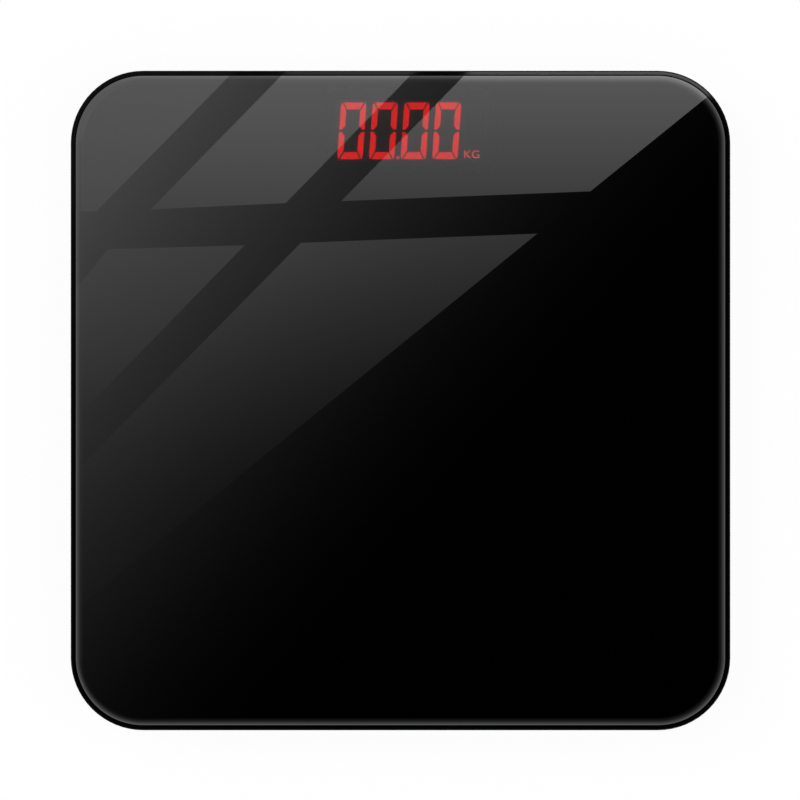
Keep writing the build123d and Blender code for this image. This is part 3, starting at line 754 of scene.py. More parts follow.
class Piece:
    """A mesh that is shaped in edit mode, as by hand, and then handed to the frame."""

    def __init__(self, obj: bpy.types.Object, name: str) -> None:
        """Takes over a new object and names it."""
        self.obj = obj
        obj.name = obj.data.name = name

    @staticmethod
    def clear_selection() -> None:
        """Leaves object mode with nothing selected."""
        if bpy.context.object and bpy.context.object.mode != "OBJECT":
            bpy.ops.object.mode_set(mode="OBJECT")
        bpy.ops.object.select_all(action="DESELECT")

    def choose(self) -> None:
        """Makes the piece the one that operators act on."""
        self.clear_selection()
        self.obj.select_set(True)
        bpy.context.view_layer.objects.active = self.obj

    @classmethod
    def block(cls, name: str, low: Vector, high: Vector) -> "Piece":
        """A block between two corners, to be shaped.

        Args:
            name: the piece's name.
            low: its lowest corner.
            high: its highest corner.

        Returns:
            The new piece.
        """
        cls.clear_selection()
        bpy.ops.mesh.primitive_cube_add(size=1.0, location=(low + high) / 2, scale=high - low)
        return cls(bpy.context.object, name).settle()

    @classmethod
    def rod(cls, name: str, radius: float, start: Vector, end: Vector, sides: int) -> "Piece":
        """A round bar between two points, to be shaped.

        Args:
            name: the piece's name.
            radius: the bar's radius.
            start: the middle of its first end.
            end: the middle of its second end.
            sides: how many facets go round it.

        Returns:
            The new piece.
        """
        cls.clear_selection()
        along = end - start
        turn = along.to_track_quat("Z", "Y").to_euler()
        bpy.ops.mesh.primitive_cylinder_add(
            vertices=sides,
            radius=radius,
            depth=along.length,
            location=(start + end) / 2,
            rotation=turn,
        )
        return cls(bpy.context.object, name).settle()

    @classmethod
    def cast(cls, name: str, node: str, flat: float = 1.0) -> "Piece":
        """A merged copy of a node's mesh, with its flat faces whole.

        Args:
            name: the piece's name.
            node: the node that is copied.
            flat: the angle in degrees up to which facets count as one face.

        Returns:
            The new piece.
        """
        cls.clear_selection()
        mesh = NODES[node].data.copy()
        obj = bpy.data.objects.new(name, mesh)
        bpy.context.scene.collection.objects.link(obj)
        piece = cls(obj, name)
        piece.edit()
        bpy.ops.mesh.select_all(action="SELECT")
        bpy.ops.mesh.customdata_custom_splitnormals_clear()
        bpy.ops.mesh.remove_doubles(threshold=CAST_MERGE)
        bpy.ops.mesh.dissolve_limited(angle_limit=math.radians(flat))
        return piece.rest()

    def edit(self, elements: str = "FACE") -> None:
        """Opens the piece in edit mode with nothing selected.

        Args:
            elements: what is selected there, FACE or EDGE.
        """
        if bpy.context.object != self.obj or self.obj.mode != "EDIT":
            self.choose()
            bpy.ops.object.mode_set(mode="EDIT")
        bpy.ops.mesh.select_mode(type=elements)
        bpy.ops.mesh.select_all(action="DESELECT")

    def rest(self) -> "Piece":
        """Goes back to object mode."""
        self.clear_selection()
        return self

    def settle(self) -> "Piece":
        """Moves the object's place into its mesh.

        Returns:
            The piece.
        """
        self.choose()
        bpy.ops.object.transform_apply(location=True, rotation=True, scale=True)
        return self

    def pick_faces(self, test: PlaceTest) -> "Piece":
        """Selects faces.

        Args:
            test: what a face's middle and normal have to pass.

        Returns:
            The piece.
        """
        self.edit("FACE")
        bpy.ops.object.mode_set(mode="OBJECT")
        for face in self.obj.data.polygons:
            face.select = test(face.center, face.normal)
        bpy.ops.object.mode_set(mode="EDIT")
        return self

    def pick_edges(self, test: PlaceTest) -> "Piece":
        """Selects edges.

        Args:
            test: what an edge's two ends have to pass.

        Returns:
            The piece.
        """
        self.edit("EDGE")
        bpy.ops.object.mode_set(mode="OBJECT")
        points = self.obj.data.vertices
        for edge in self.obj.data.edges:
            edge.select = test(*(points[index].co for index in edge.vertices))
        bpy.ops.object.mode_set(mode="EDIT")
        return self

    def cut(self, *places: float) -> "Piece":
        """Cuts the piece into convex facets, and then across, and keeps both sides.

        Args:
            places: where it is cut across, along X.

        Returns:
            The piece.
        """
        self.edit("EDGE")
        bpy.ops.mesh.select_all(action="SELECT")
        bpy.ops.mesh.quads_convert_to_tris()
        for place in places:
            bpy.ops.mesh.select_all(action="SELECT")
            bpy.ops.mesh.bisect(plane_co=(place, 0.0, 0.0), plane_no=(1.0, 0.0, 0.0))
        return self

    def drop(self, test: PlaceTest) -> "Piece":
        """Deletes faces.

        Args:
            test: what a face's middle and normal have to pass.

        Returns:
            The piece.
        """
        self.pick_faces(test)
        bpy.ops.mesh.delete(type="FACE")
        return self

    def close(self, test: PlaceTest) -> "Piece":
        """Puts a face on a ring of edges.

        Args:
            test: what an edge's two ends have to pass.

        Returns:
            The piece.
        """
        self.pick_edges(test)
        bpy.ops.mesh.edge_face_add()
        return self

    def bevel(self, width: float, segments: int) -> "Piece":
        """Rounds the selected edges."""
        bpy.ops.mesh.bevel(offset=width, segments=segments, affect="EDGES", clamp_overlap=False)
        return self

    def inset(self, width: float, rise: float = 0.0) -> "Piece":
        """Draws the selected face in, and lifts it along its normal."""
        bpy.ops.mesh.inset(thickness=width, depth=rise)
        return self

    def extrude(self, move: Triple) -> "Piece":
        """Pulls the selected faces out by a move."""
        bpy.ops.mesh.extrude_region_move(TRANSFORM_OT_translate={"value": move})
        return self

    def smooth(self, angle: float = 32.0) -> "Piece":
        """Merges doubles and smooths all but the sharp edges.

        Args:
            angle: the angle in degrees from which an edge is sharp.

        Returns:
            The piece.
        """
        self.edit()
        bpy.ops.mesh.select_all(action="SELECT")
        bpy.ops.mesh.remove_doubles(threshold=MERGE)
        bpy.ops.mesh.normals_make_consistent(inside=False)
        self.choose()
        bpy.ops.object.shade_smooth_by_angle(angle=math.radians(angle))
        return self.rest()

    def weigh(self) -> "Piece":
        """Lets large faces decide the shading, so that long sides mirror straight.

        Returns:
            The piece.
        """
        self.choose()
        bpy.ops.object.modifier_add(type="WEIGHTED_NORMAL")
        modifier = self.obj.modifiers[-1]
        modifier.keep_sharp = True
        bpy.ops.object.modifier_apply(modifier=modifier.name)
        return self.rest()

    def twin(self, name: str, move: Vector) -> "Piece":
        """A copy with its own mesh.

        Args:
            name: the copy's name.
            move: how far it is moved.

        Returns:
            The copy.
        """
        self.clear_selection()
        obj = self.obj.copy()
        obj.data = self.obj.data.copy()
        bpy.context.scene.collection.objects.link(obj)
        obj.location = move
        return Piece(obj, name).settle()

    def paint(self, name: str) -> Shader:
        """Gives the piece a new material.

        Args:
            name: the material's name.

        Returns:
            The shader that fills it.
        """
        shader, made = Shader.material(name)
        self.obj.data.materials.append(made)
        return shader

    def seat(self, body: str | Bend, look: Look | Finish, slot: str, *nodes: str) -> "Piece":
        """Hands the piece to the frame.

        Args:
            body: the body that it rides on, or a Bend, which leaves the piece unattached with its
                place moved into its mesh.
            look: its finish.
            slot: not used.
            nodes: the nodes that it replaces.

        Returns:
            The piece.
        """
        finish = look.value if isinstance(look, Look) else look
        self.obj.data.materials.clear()
        self.obj.data.materials.append(finish.material())
        if isinstance(body, Bend):
            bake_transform(self.obj)
            log.info("%s bends up with %s", self.obj.name, body.foot)
        else:
            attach(self.obj, body)
            log.info("%s rides on %s", self.obj.name, body)
        if nodes:
            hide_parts(*nodes)
        return self


def dress(look: Look, *nodes: str) -> None:
    """Gives nodes that keep their own shape a finish.

    Args:
        look: the finish.
        nodes: the nodes.
    """
    for node in nodes:
        slots = NODES[node].data.materials
        slots.clear()
        slots.append(look.value.material())
        log.info("%s has %s", node, look.name.lower())


@dataclass
class Platform:
    """The glass with its rolled edge, the print behind it and the tape that holds it."""

    corner_radius: float = 26.8 * MM
    corner_steps: int = 28
    arris_width: float = 0.28 * MM
    arris_drop: float = 0.4 * MM
    roll_radius: float = 5.6 * MM
    roll_angle: float = math.radians(33.5)
    roll_steps: int = 14
    bond: float = 0.05 * MM
    level: float = 0.005 * MM
    sharp_from: float = 20.0

    def build(self) -> None:
        """Models the glass."""
        low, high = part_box("glass_platform")
        drop = self.roll_radius * (1 - math.cos(self.roll_angle)) + self.arris_drop
        foot = Vector((low.x, low.y, low.z - self.bond))
        glass = Piece.block("glass_sheet", foot, Vector((high.x, high.y, high.z - drop)))
        glass.pick_edges(lambda a, b: abs(a.z - b.z) > self.bond)
        glass.bevel(self.corner_radius, self.corner_steps)
        glass.pick_faces(lambda centre, normal: normal.z > FACING)
        glass.inset(self.arris_width, self.arris_drop)
        turn = self.roll_angle
        for step in range(self.roll_steps):
            after = self.roll_angle * (1 - (step + 1) / self.roll_steps)
            width = self.roll_radius * (math.sin(turn) - math.sin(after))
            rise = self.roll_radius * (math.cos(after) - math.cos(turn))
            glass.inset(width, rise)
            turn = after
        glass.pick_edges(lambda a, b: min(a.z, b.z) > high.z - self.level)
        bpy.ops.mesh.mark_sharp()
        glass.rest().smooth(self.sharp_from).weigh()
        glass.seat(PLATFORM_BODY, Look.GLASS, "clear_glass", "glass_platform")

    def dress(self) -> None:
        """Finishes what keeps its own shape."""
        dress(Look.PRINT, "printed_film")
        dress(Look.FOAM, "adhesive_tape")


@dataclass
class Tray:
    """The moulded tray."""

    bevel: float = 8 * MM
    close: float = 0.05 * MM
    flat_to: float = 0.2
    sharp_from: float = 25.0

    def build(self) -> None:
        """Copies the moulding, and lifts the rib ends that stand out of its bevel back into it."""
        low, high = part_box("base_shell")
        tray = Piece.cast("tray_shell", "base_shell", self.flat_to)
        for point in tray.obj.data.vertices:
            out = max(abs(point.co.x), abs(point.co.y)) - (high.x - self.bevel)
            past = out - (point.co.z - low.z)
            if past > self.close:
                point.co.z += past
        tray.smooth(self.sharp_from).weigh()
        tray.seat(PLATFORM_BODY, Look.TRAY, "tray_plastic", "base_shell")


@dataclass
class Feet:
    """The four feet with their treaded rubber pads."""

    sides: int = 128
    edge: float = 0.5 * MM
    lip: float = 0.6 * MM
    round_steps: int = 4
    groove_width: float = 1.1 * MM
    groove_depth: float = 0.6 * MM
    land: float = 2.4 * MM
    grooves: int = 4
    close: float = 0.1 * MM

    def build(self) -> None:
        """Models one pad and one foot, and copies them to the other corners."""
        first = Corner.FRONT_LEFT
        pad = self.pad(f"rubber_pad_{first.word}", f"foot_pad_{first.word}")
        foot = self.foot(f"foot_cup_{first.word}", f"foot_{first.word}")
        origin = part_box(f"foot_pad_{first.word}")[0]
        for corner in Corner:
            pad_here, foot_here = pad, foot
            if corner is not first:
                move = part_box(f"foot_pad_{corner.word}")[0] - origin
                pad_here = pad.twin(f"rubber_pad_{corner.word}", move)
                foot_here = foot.twin(f"foot_cup_{corner.word}", move)
            pad_here.seat(corner.body, Look.PAD, "pad_rubber", f"foot_pad_{corner.word}")
            foot_here.seat(corner.body, Look.FOOT, "foot_plastic", f"foot_{corner.word}")

    def pad(self, name: str, node: str) -> Piece:
        """A disc with ring grooves in its tread.

        Args:
            name: the pad's name.
            node: the node that it stands for.

        Returns:
            The pad.
        """
        low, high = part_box(node)
        middle = (low + high) / 2
        radius = (high.x - low.x) / 2
        start = Vector((middle.x, middle.y, low.z))
        end = Vector((middle.x, middle.y, high.z))
        pad = Piece.rod(name, radius, start, end, self.sides)
        pad.pick_edges(lambda a, b: max(a.z, b.z) < low.z + self.edge)
        pad.bevel(self.edge, self.round_steps)
        pad.pick_faces(lambda centre, normal: normal.z < -FACING)
        for _ in range(self.grooves):
            pad.inset(self.land).inset(self.groove_width)
        for ring in range(self.grooves):
            outer = radius - self.edge - self.land - ring * (self.land + self.groove_width)
            inner = outer - self.groove_width

            def in_groove(centre: Vector, normal: Vector) -> bool:
                """True on the ring's flat faces."""
                reach = math.hypot(centre.x - middle.x, centre.y - middle.y)
                return normal.z < -FACING and inner < reach < outer

            pad.pick_faces(in_groove).extrude((0.0, 0.0, self.groove_depth))
        return pad.rest().smooth()

    def foot(self, name: str, node: str) -> Piece:
        """A foot with its lower edge rounded.

        Args:
            name: the foot's name.
            node: the node that it stands for.

        Returns:
            The foot.
        """
        low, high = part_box(node)
        middle = (low + high) / 2
        radius = (high.x - low.x) / 2

        def on_rim(a: Vector, b: Vector) -> bool:
            """True on the plate's lower edge."""
            reach = min(math.hypot(p.x - middle.x, p.y - middle.y) for p in (a, b))
            return max(a.z, b.z) < low.z + self.close and reach > radius - self.close

        foot = Piece.cast(name, node)
        foot.pick_edges(on_rim).bevel(self.lip, self.round_steps)
        return foot.rest().smooth()


@dataclass
class LoadCells:
    """The steel cells, whose tongues bend up with the feet on the real scale, their gauges and their
    leads; nothing here bends them.
    """

    root: float = 6.5 * MM
    neck: float = 6.0 * MM
    slot_middle: float = 10.0 * MM
    tip_clear: float = 11.0 * MM
    steps: int = 8
    close: float = 0.01 * MM

    def build(self) -> None:
        """Models the cell and the gauge at every corner."""
        for corner in Corner:
            self.cell(corner)

    def cell(self, corner: Corner) -> None:
        """One cell, split at its tongue's root, and the gauge on the tongue's neck.

        Args:
            corner: where the cell is.
        """
        side, end = corner.value
        node = f"load_cell_{corner.word}"
        low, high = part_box(node)
        middle = (low + high) / 2
        inner = low.x if side > 0 else high.x
        start = Vector((inner + side * self.root, middle.y, middle.z))
        stop = start + Vector((side * self.neck, 0.0, 0.0))
        cuts = [start.lerp(stop, step / self.steps).x for step in range(self.steps + 1)]
        bend = Bend(corner.body, start, stop)

        def on_tongue(centre: Vector, normal: Vector) -> bool:
            """Tells the tongue's own faces.

            Args:
                centre: a face's middle.
                normal: its normal.

            Returns:
                True past the root, before the tip and between the slots.
            """
            past_root = (centre.x - start.x) * side > self.close
            before_tip = (centre.x - middle.x) * side < self.tip_clear
            return past_root and before_tip and abs(centre.y - middle.y) < self.slot_middle

        def at_root(a: Vector, b: Vector) -> bool:
            """True on the edges where the tongue was cut off."""
            near = all(abs(p.x - start.x) < self.close for p in (a, b))
            return near and max(abs(a.y - middle.y), abs(b.y - middle.y)) < self.slot_middle

        def elsewhere(centre: Vector, normal: Vector) -> bool:
            """True on the gauges of the other corners."""
            return centre.x * side < 0 or centre.y * end < 0

        holder = Piece.cast(f"cell_frame_{corner.word}", node).cut(start.x)
        holder.drop(on_tongue).close(at_root).rest().smooth()
        holder.seat(PLATFORM_BODY, Look.STEEL, "cell_steel", node)
        tongue = Piece.cast(f"cell_tongue_{corner.word}", node).cut(start.x)
        tongue.drop(lambda centre, normal: not on_tongue(centre, normal)).close(at_root)
        tongue.cut(*cuts[1:]).rest().smooth().seat(bend, Look.STEEL, "cell_steel", node)
        gauge = Piece.cast(f"strain_gauge_{corner.word}", "strain_gauges").drop(elsewhere)
        gauge.cut(*cuts).rest().smooth()
        gauge.seat(bend, Look.SEALANT, "sealant", "strain_gauges")

    def dress(self) -> None:
        """Finishes the leads."""
        for corner in Corner:
            dress(Look.LEAD, f"sensor_lead_{corner.word}")
        dress(Look.SUPPLY, "supply_leads")


@dataclass
class BatteryBay:
    """The two dry cells, their contacts, the polarity signs and the hinged door."""

    sides: int = 72
    nub_length: float = 1.0 * MM
    nub_radius: float = 1.9 * MM
    nub_edge: float = 0.25 * MM
    nub_crown: float = 0.2 * MM
    shoulder: float = 0.5 * MM
    shoulder_steps: int = 4
    ring_width: float = 0.3 * MM
    ring_depth: float = 0.25 * MM
    tail_rim: float = 0.6 * MM
    tail_step: float = 0.2 * MM
    tail_depth: float = 0.15 * MM
    sleeve_inset: float = 0.9 * MM
    band_share: float = 0.55
    sign: float = 3.0 * MM
    stroke: float = 0.7 * MM
    sign_sink: float = 0.2 * MM
    sign_proud: float = 0.01 * MM
    ledge_middle: float = 28.0 * MM

    def build(self) -> None:
        """Models the cells and the signs at the ends of the well."""
        for node, facing in (("battery_front", -1), ("battery_rear", 1)):
            self.cell(node, facing)
        for row in ("front", "rear"):
            for side in (-1, 1):
                self.polarity(row, side)

    def cell(self, node: str, facing: int) -> None:
        """One dry cell.

        Args:
            node: the cell's node.
            facing: 1 where its nub points along +X, else -1.
        """
        low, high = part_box(node)
        middle = (low + high) / 2
        radius = (high.z - low.z) / 2
        tip, tail = (high.x, low.x) if facing > 0 else (low.x, high.x)
        shoulder_x = tip - facing * self.nub_length
        start = Vector((tail, middle.y, middle.z))
        end = Vector((shoulder_x, middle.y, middle.z))
        cell = Piece.rod(f"{node}_cell", radius, start, end, self.sides)
        cell.pick_edges(lambda a, b: abs(a.x - b.x) < self.shoulder)
        cell.bevel(self.shoulder, self.shoulder_steps)
        cell.pick_faces(lambda centre, normal: normal.x * facing > FACING)
        cell.inset(radius - self.shoulder - self.nub_radius - 2 * self.ring_width)
        cell.inset(self.ring_width, -self.ring_depth).inset(self.ring_width)
        rise = self.nub_length + self.ring_depth - self.nub_crown
        cell.extrude((facing * rise, 0.0, 0.0)).inset(self.nub_edge, self.nub_crown)
        cell.pick_faces(lambda centre, normal: normal.x * facing < -FACING)
        cell.inset(self.tail_rim).inset(self.tail_step, -self.tail_depth)
        half = abs(shoulder_x - tail) / 2
        look = CellSleeve(
            f"look_{node}",
            (shoulder_x + tail) / 2,
            half - self.sleeve_inset,
            half * self.band_share,
            facing,
        )
        cell.rest().smooth().seat(PLATFORM_BODY, look, "battery_sleeve", node)

    def polarity(self, row: str, side: int) -> None:
        """A plus or a minus let into the ledge at one end of a cell's row.

        Args:
            row: front or rear.
            side: the sign of X at that end.
        """
        low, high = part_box(f"battery_{row}")
        door_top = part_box("battery_door")[1].z
        middle_y = (low.y + high.y) / 2
        plus = (row == "rear") == (side > 0)
        at = Vector((side * self.ledge_middle, middle_y, door_top))
        half, thick = self.sign / 2, self.stroke / 2
        foot = Vector((at.x - thick, at.y - half, at.z - self.sign_proud))
        head = Vector((at.x + thick, at.y + half, at.z + self.sign_sink))
        word = "plus" if plus else "minus"
        mark = Piece.block(f"polarity_{word}_{row}", foot, head)
        if plus:
            mark.edit("EDGE")
            bpy.ops.mesh.select_all(action="SELECT")
            for offset in (-thick, thick):
                place = (at.x, at.y + offset, at.z)
                bpy.ops.mesh.bisect(plane_co=place, plane_no=(0.0, 1.0, 0.0))
                bpy.ops.mesh.select_all(action="SELECT")
            for way in (-1, 1):
                mark.pick_faces(lambda c, n: n.x * way > FACING and abs(c.y - at.y) < thick)
                mark.extrude((way * (half - thick), 0.0, 0.0))
        mark.rest().smooth().seat(PLATFORM_BODY, Look.MARK, "tray_plastic")

    def dress(self) -> None:
        """Finishes the contacts and the door."""
        dress(Look.CONTACT, "contact_positive", "contact_negative", "contact_bridge")
        dress(Look.CONTACT, "spring_negative", "spring_bridge")
        dress(Look.DOOR, "battery_door")


@dataclass
class Display:
    """The LED module with its lit digits and the unit sign."""

    sign: str = "KG"
    sign_height: float = 3.1 * MM
    sign_width: float = 6.1 * MM
    sign_thickness: float = 0.12 * MM
    cast_depth: float = 0.02

    def build(self) -> None:
        """Models the unit sign over its lamp."""
        low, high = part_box("unit_lamp")
        Piece.clear_selection()
        bpy.ops.object.text_add()
        letters = bpy.context.object
        letters.data.body = self.sign
        letters.data.align_x = "CENTER"
        letters.data.align_y = "CENTER"
        letters.data.extrude = self.cast_depth
        bpy.ops.object.convert(target="MESH")
        sign = Piece(bpy.context.object, "unit_sign")
        points = [v.co for v in sign.obj.data.vertices]
        spread = [(min(p[i] for p in points), max(p[i] for p in points)) for i in range(3)]
        wanted = (self.sign_width, self.sign_height, self.sign_thickness)
        scale = [size / (b - a) for size, (a, b) in zip(wanted, spread)]
        sign.obj.scale = scale
        at = (low + high) / 2
        at.z = high.z + self.sign_thickness / 2
        sign.obj.location = at - Vector(s * (a + b) / 2 for s, (a, b) in zip(scale, spread))
        sign.settle().smooth().seat(PLATFORM_BODY, Look.UNIT, "lit_red")

    def dress(self) -> None:
        """Finishes the module."""
        dress(Look.HOUSING, "display_housing")
        dress(Look.LIT, "lit_segments")
        dress(Look.POINT, "decimal_point")
        dress(Look.UNLIT, "dark_segments", "unit_lamp")
        dress(Look.WINDOW, "display_window")
        dress(Look.FOAM, "display_gasket")
        dress(Look.PIN, "display_pins")


@dataclass
class Electronics:
    """The board with its chips, and the unit button with its switch."""

    def dress(self) -> None:
        """Finishes the board and the button."""
        dress(Look.BOARD, "circuit_board")
        dress(Look.SCREW, "board_screws")
        dress(Look.CHIP, "driver_chip", "converter_chip", "unit_switch")
        dress(Look.PASSIVE, "small_parts")
        dress(Look.BUTTON, "unit_button", "switch_plunger")


@dataclass(frozen=True)
class Pane:
    """One lit pane of the window that the glass mirrors, in pixels of an 800 by 800 view.

    Its first two corners lie at the platform's edge. Its borders run from the fourth corner to the
    first and from the third to the second, and are carried on outwards, so that the rolled edge
    mirrors them in line.
    """

    name: str
    corners: tuple[Pixel, ...]
    top: float
    foot: float
    fade_end: float
    fall: float = 1.0
    haze_share: float = -1.0
    rim_share: float = 0.0
    top_gain: float = 0.0
    side_gain: float = 0.0
    gain_span: float = 2300.0


@dataclass(frozen=True)
class Lamp:
    """A square lamp that points at the origin."""

    name: str
    place: Triple
    size: float
    power: float


@dataclass
class Studio:
    """Camera, floor, lamps, surroundings and the window above, all of them stage."""

    lens: float = 200.0
    sensor: float = 36.0
    view_width: float = 315.12 * MM
    view_pixels: float = 800.0
    view_middle: float = 400.5
    card_height: float = 0.6
    card_step: float = 1 * MM
    mirror_gain: float = 25.0
    haze_reach: float = 8000.0
    haze_edge: float = 84.0
    haze_end: float = 970.0
    haze_span: float = 538.0
    haze_lean: float = 0.88
    haze_level: float = 0.0259
    haze_fall: float = 2.75
    haze_span_out: float = 2300.0
    outline_half: float = 329.75
    outline_radius: float = 72.5
    rim_pixels: float = 4.6
    rim_over: float = 3.0
    carry_shares: tuple[float, ...] = (0.02, 0.125, 0.25, 0.375, 0.5, 0.625, 0.75, 0.875, 1.0)
    carry_past: float = 2.0
    search_reach: float = 2.0
    search_rounds: int = 40
    close: float = 0.001 * MM
    gain_from: float = -100.0
    floor_reach: float = 4.0
    floor_patch: float = 0.5
    floor_colours: tuple[Colour, Colour] = ((0.9, 0.9, 0.9), (0.94, 0.94, 0.94))
    shadow_share: float = 0.06
    plain_level: float = 0.55
    sky_gain: float = 2.55
    sky: tuple[tuple[float, float], ...] = (
        (0.0, 0.02), (0.12, 0.05), (0.358, 0.875), (0.515, 0.55), (0.643, 0.365), (0.755, 0.215),
        (0.839, 0.1), (0.9135, 0.0575), (0.961, 0.0325), (0.99, 0.008), (0.996, 0.0),
    )
    lights: tuple[Lamp, ...] = (
        Lamp("lamp_left", (-1.1, 0.5, 1.5), 1.2, 16.0),
        Lamp("lamp_right", (1.1, -0.4, 1.5), 1.2, 12.0),
        Lamp("lamp_below", (0.5, -0.8, -1.5), 1.4, 22.0),
    )
    platform: Platform = field(default_factory=Platform)
    panes: tuple[Pane, ...] = (
        Pane(
            "pane_a", ((71.5, 211.5), (234.0, 71.5), (96.4, 211.5), (90.0, 211.5)),
            0.0925, 0.066, 211.5, rim_share=0.85, top_gain=-0.04, side_gain=-0.083,
        ),
        Pane(
            "pane_b", ((285.7, 71.5), (414.6, 71.5), (285.8, 203.2), (150.7, 209.6)),
            0.1, 0.0545, 209.6, rim_share=4.9,
        ),
        Pane(
            "pane_c", ((468.5, 71.5), (738.8, 71.5), (590.5, 191.4), (341.4, 201.2)),
            0.0955, 0.044, 201.2, rim_share=12.0, top_gain=0.042, gain_span=700.0,
        ),
        Pane(
            "pane_d", ((71.5, 294.3), (71.5, 423.5), (244.7, 245.4), (108.2, 249.3)),
            0.033, 0.011, 425.7, haze_share=-0.5, side_gain=-0.028,
        ),
        Pane(
            "pane_e", ((71.5, 475.7), (71.5, 612.4), (537.3, 233.8), (301.0, 243.0)),
            0.0295, 0.0009, 560.0, fall=2.4, haze_share=0.0, side_gain=-0.02,
        ),
    )

    def build(self) -> None:
        """Sets up everything round the scale."""
        bpy.context.scene.view_settings.view_transform = "Standard"
        self.camera()
        self.surroundings()
        self.floor()
        self.lamps()
        self.window()

    @property
    def top(self) -> float:
        """The height of the glass."""
        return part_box("glass_platform")[1].z

    @property
    def distance(self) -> float:
        """How far the camera is above the glass."""
        return self.view_width * self.lens / self.sensor

    @property
    def step(self) -> float:
        """How much of the glass one pixel shows."""
        return self.view_width / self.view_pixels

    @property
    def pixel(self) -> float:
        """How much of a card one pixel mirrors."""
        return self.step * (self.distance + self.card_height) / self.distance

    def camera(self) -> None:
        """A long lens straight above the middle."""
        data = bpy.data.cameras.new("camera")
        data.lens = self.lens
        data.sensor_width = self.sensor
        camera = bpy.data.objects.new("camera", data)
        shift = (self.view_middle - self.view_pixels / 2) * self.step
        camera.location = (-shift, shift, self.top + self.distance)
        bpy.context.scene.collection.objects.link(camera)
        bpy.context.scene.camera = camera

    def surroundings(self) -> None:
        """White to the camera, plain as light, and to mirrors a sky that brightens outwards."""
        world = bpy.data.worlds.new("studio")
        bpy.context.scene.world = world
        world.use_nodes = True
        shader = Shader(world.node_tree, "ShaderNodeOutputWorld")
        way = shader.node("ShaderNodeTexCoord").outputs["Generated"]
        height = shader.signal(shader.node("ShaderNodeSeparateXYZ", inputs={0: way}), 2)
        stops = tuple((place, (level, level, level)) for place, level in self.sky)
        ramp = shader.node("ShaderNodeValToRGB", {"stops": stops}, {0: height})
        mirror = self.sky_gain * shader.signal(ramp) + (1.0 - height.above(0.0))
        path = shader.node("ShaderNodeLightPath")
        seen = shader.signal(path, "Is Camera Ray")
        mirrored = shader.signal(path, "Is Glossy Ray")
        mirrored = mirrored.either(shader.signal(path, "Is Transmission Ray"))
        unseen = mirrored * mirror + (1.0 - mirrored) * self.plain_level
        level = seen + (1.0 - seen) * unseen
        inputs = {"Color": (1.0, 1.0, 1.0, 1.0), "Strength": level}
        shader.emit(shader.node("ShaderNodeBackground", inputs=inputs))

    def floor(self) -> None:
        """A pale floor that keeps a soft shadow and is clear from below."""
        Piece.clear_selection()
        bpy.ops.mesh.primitive_plane_add(size=2 * self.floor_reach)
        floor = Piece(bpy.context.object, "floor")
        shader = floor.paint("look_floor")
        pale = shader.blend(shader.noise(self.floor_patch), *self.floor_colours)
        lit = shader.node("ShaderNodeBsdfDiffuse", inputs={"Color": pale})
        white = shader.node("ShaderNodeEmission", inputs={"Color": (1.0, 1.0, 1.0, 1.0)})
        path = shader.node("ShaderNodeLightPath")
        seen = shader.signal(path, "Is Camera Ray").either(shader.signal(path, "Is Glossy Ray"))
        seen = seen.either(shader.signal(path, "Is Transmission Ray"))
        share = seen * (1.0 - self.shadow_share)
        top = shader.mixed(share, lit, white)
        clear = shader.node("ShaderNodeBsdfTransparent")
        back = shader.signal(shader.node("ShaderNodeNewGeometry"), "Backfacing")
        shader.emit(shader.mixed(back, top, clear))
        floor.obj.visible_diffuse = False
        floor.obj.visible_shadow = False

    def lamps(self) -> None:
        """Large soft lamps above, and one below for the underside."""
        for given in self.lights:
            data = bpy.data.lights.new(given.name, "AREA")
            data.size = given.size
            data.energy = given.power
            lamp = bpy.data.objects.new(given.name, data)
            lamp.location = given.place
            lamp.rotation_euler = (-Vector(given.place)).to_track_quat("-Z", "Y").to_euler()
            lamp.visible_glossy = False
            lamp.visible_camera = False
            bpy.context.scene.collection.objects.link(lamp)

    def on_card(self, x: float, y: float, height: float, tilt: float = 0.0) -> Vector:
        """The point of a card that the glass mirrors at a pixel.

        Args:
            x: the pixel across.
            y: the pixel down.
            height: how far the card is above the glass.
            tilt: how far the glass leans outwards there.

        Returns:
            The point on the card.
        """
        at = Vector((x - self.view_middle, self.view_middle - y, 0.0)) * self.step
        way = self.reach(Vector((x, y)))[1] * math.sin(tilt)
        leaning = Vector((way.x, -way.y, math.cos(tilt)))
        ray = (at - Vector((0.0, 0.0, self.distance))).reflect(leaning)
        return at + ray * (height / ray.z) + Vector((0.0, 0.0, self.top))

    def card(self, name: str, corners: Iterable[Pixel], height: float) -> Piece:
        """A four-cornered card above the glass that only mirrors see.

        Args:
            name: the card's name.
            corners: the pixels at which the glass mirrors its corners.
            height: how far it is above the glass.

        Returns:
            The card.
        """
        Piece.clear_selection()
        bpy.ops.mesh.primitive_plane_add(size=1.0)
        card = Piece(bpy.context.object, name)
        points = card.obj.data.vertices
        for index, (x, y) in zip(card.obj.data.polygons[0].vertices, corners):
            points[index].co = self.on_card(x, y, height)
        card.obj.visible_camera = False
        card.obj.visible_diffuse = False
        card.obj.visible_transmission = False
        card.obj.visible_shadow = False
        return card

    def reach(self, at: Vector) -> tuple[float, Vector]:
        """Where a pixel is from the platform's outline.

        Args:
            at: the pixel.

        Returns:
            How far it is outside the outline, and the way out from there.
        """
        straight = self.outline_half - self.outline_radius
        place = at - Vector((self.view_middle, self.view_middle))
        over = Vector([math.copysign(max(abs(part) - straight, 0.0), part) for part in place])
        if over.length > 0:
            return over.length - self.outline_radius, over.normalized()
        return max(abs(part) for part in place) - self.outline_half, place.normalized()

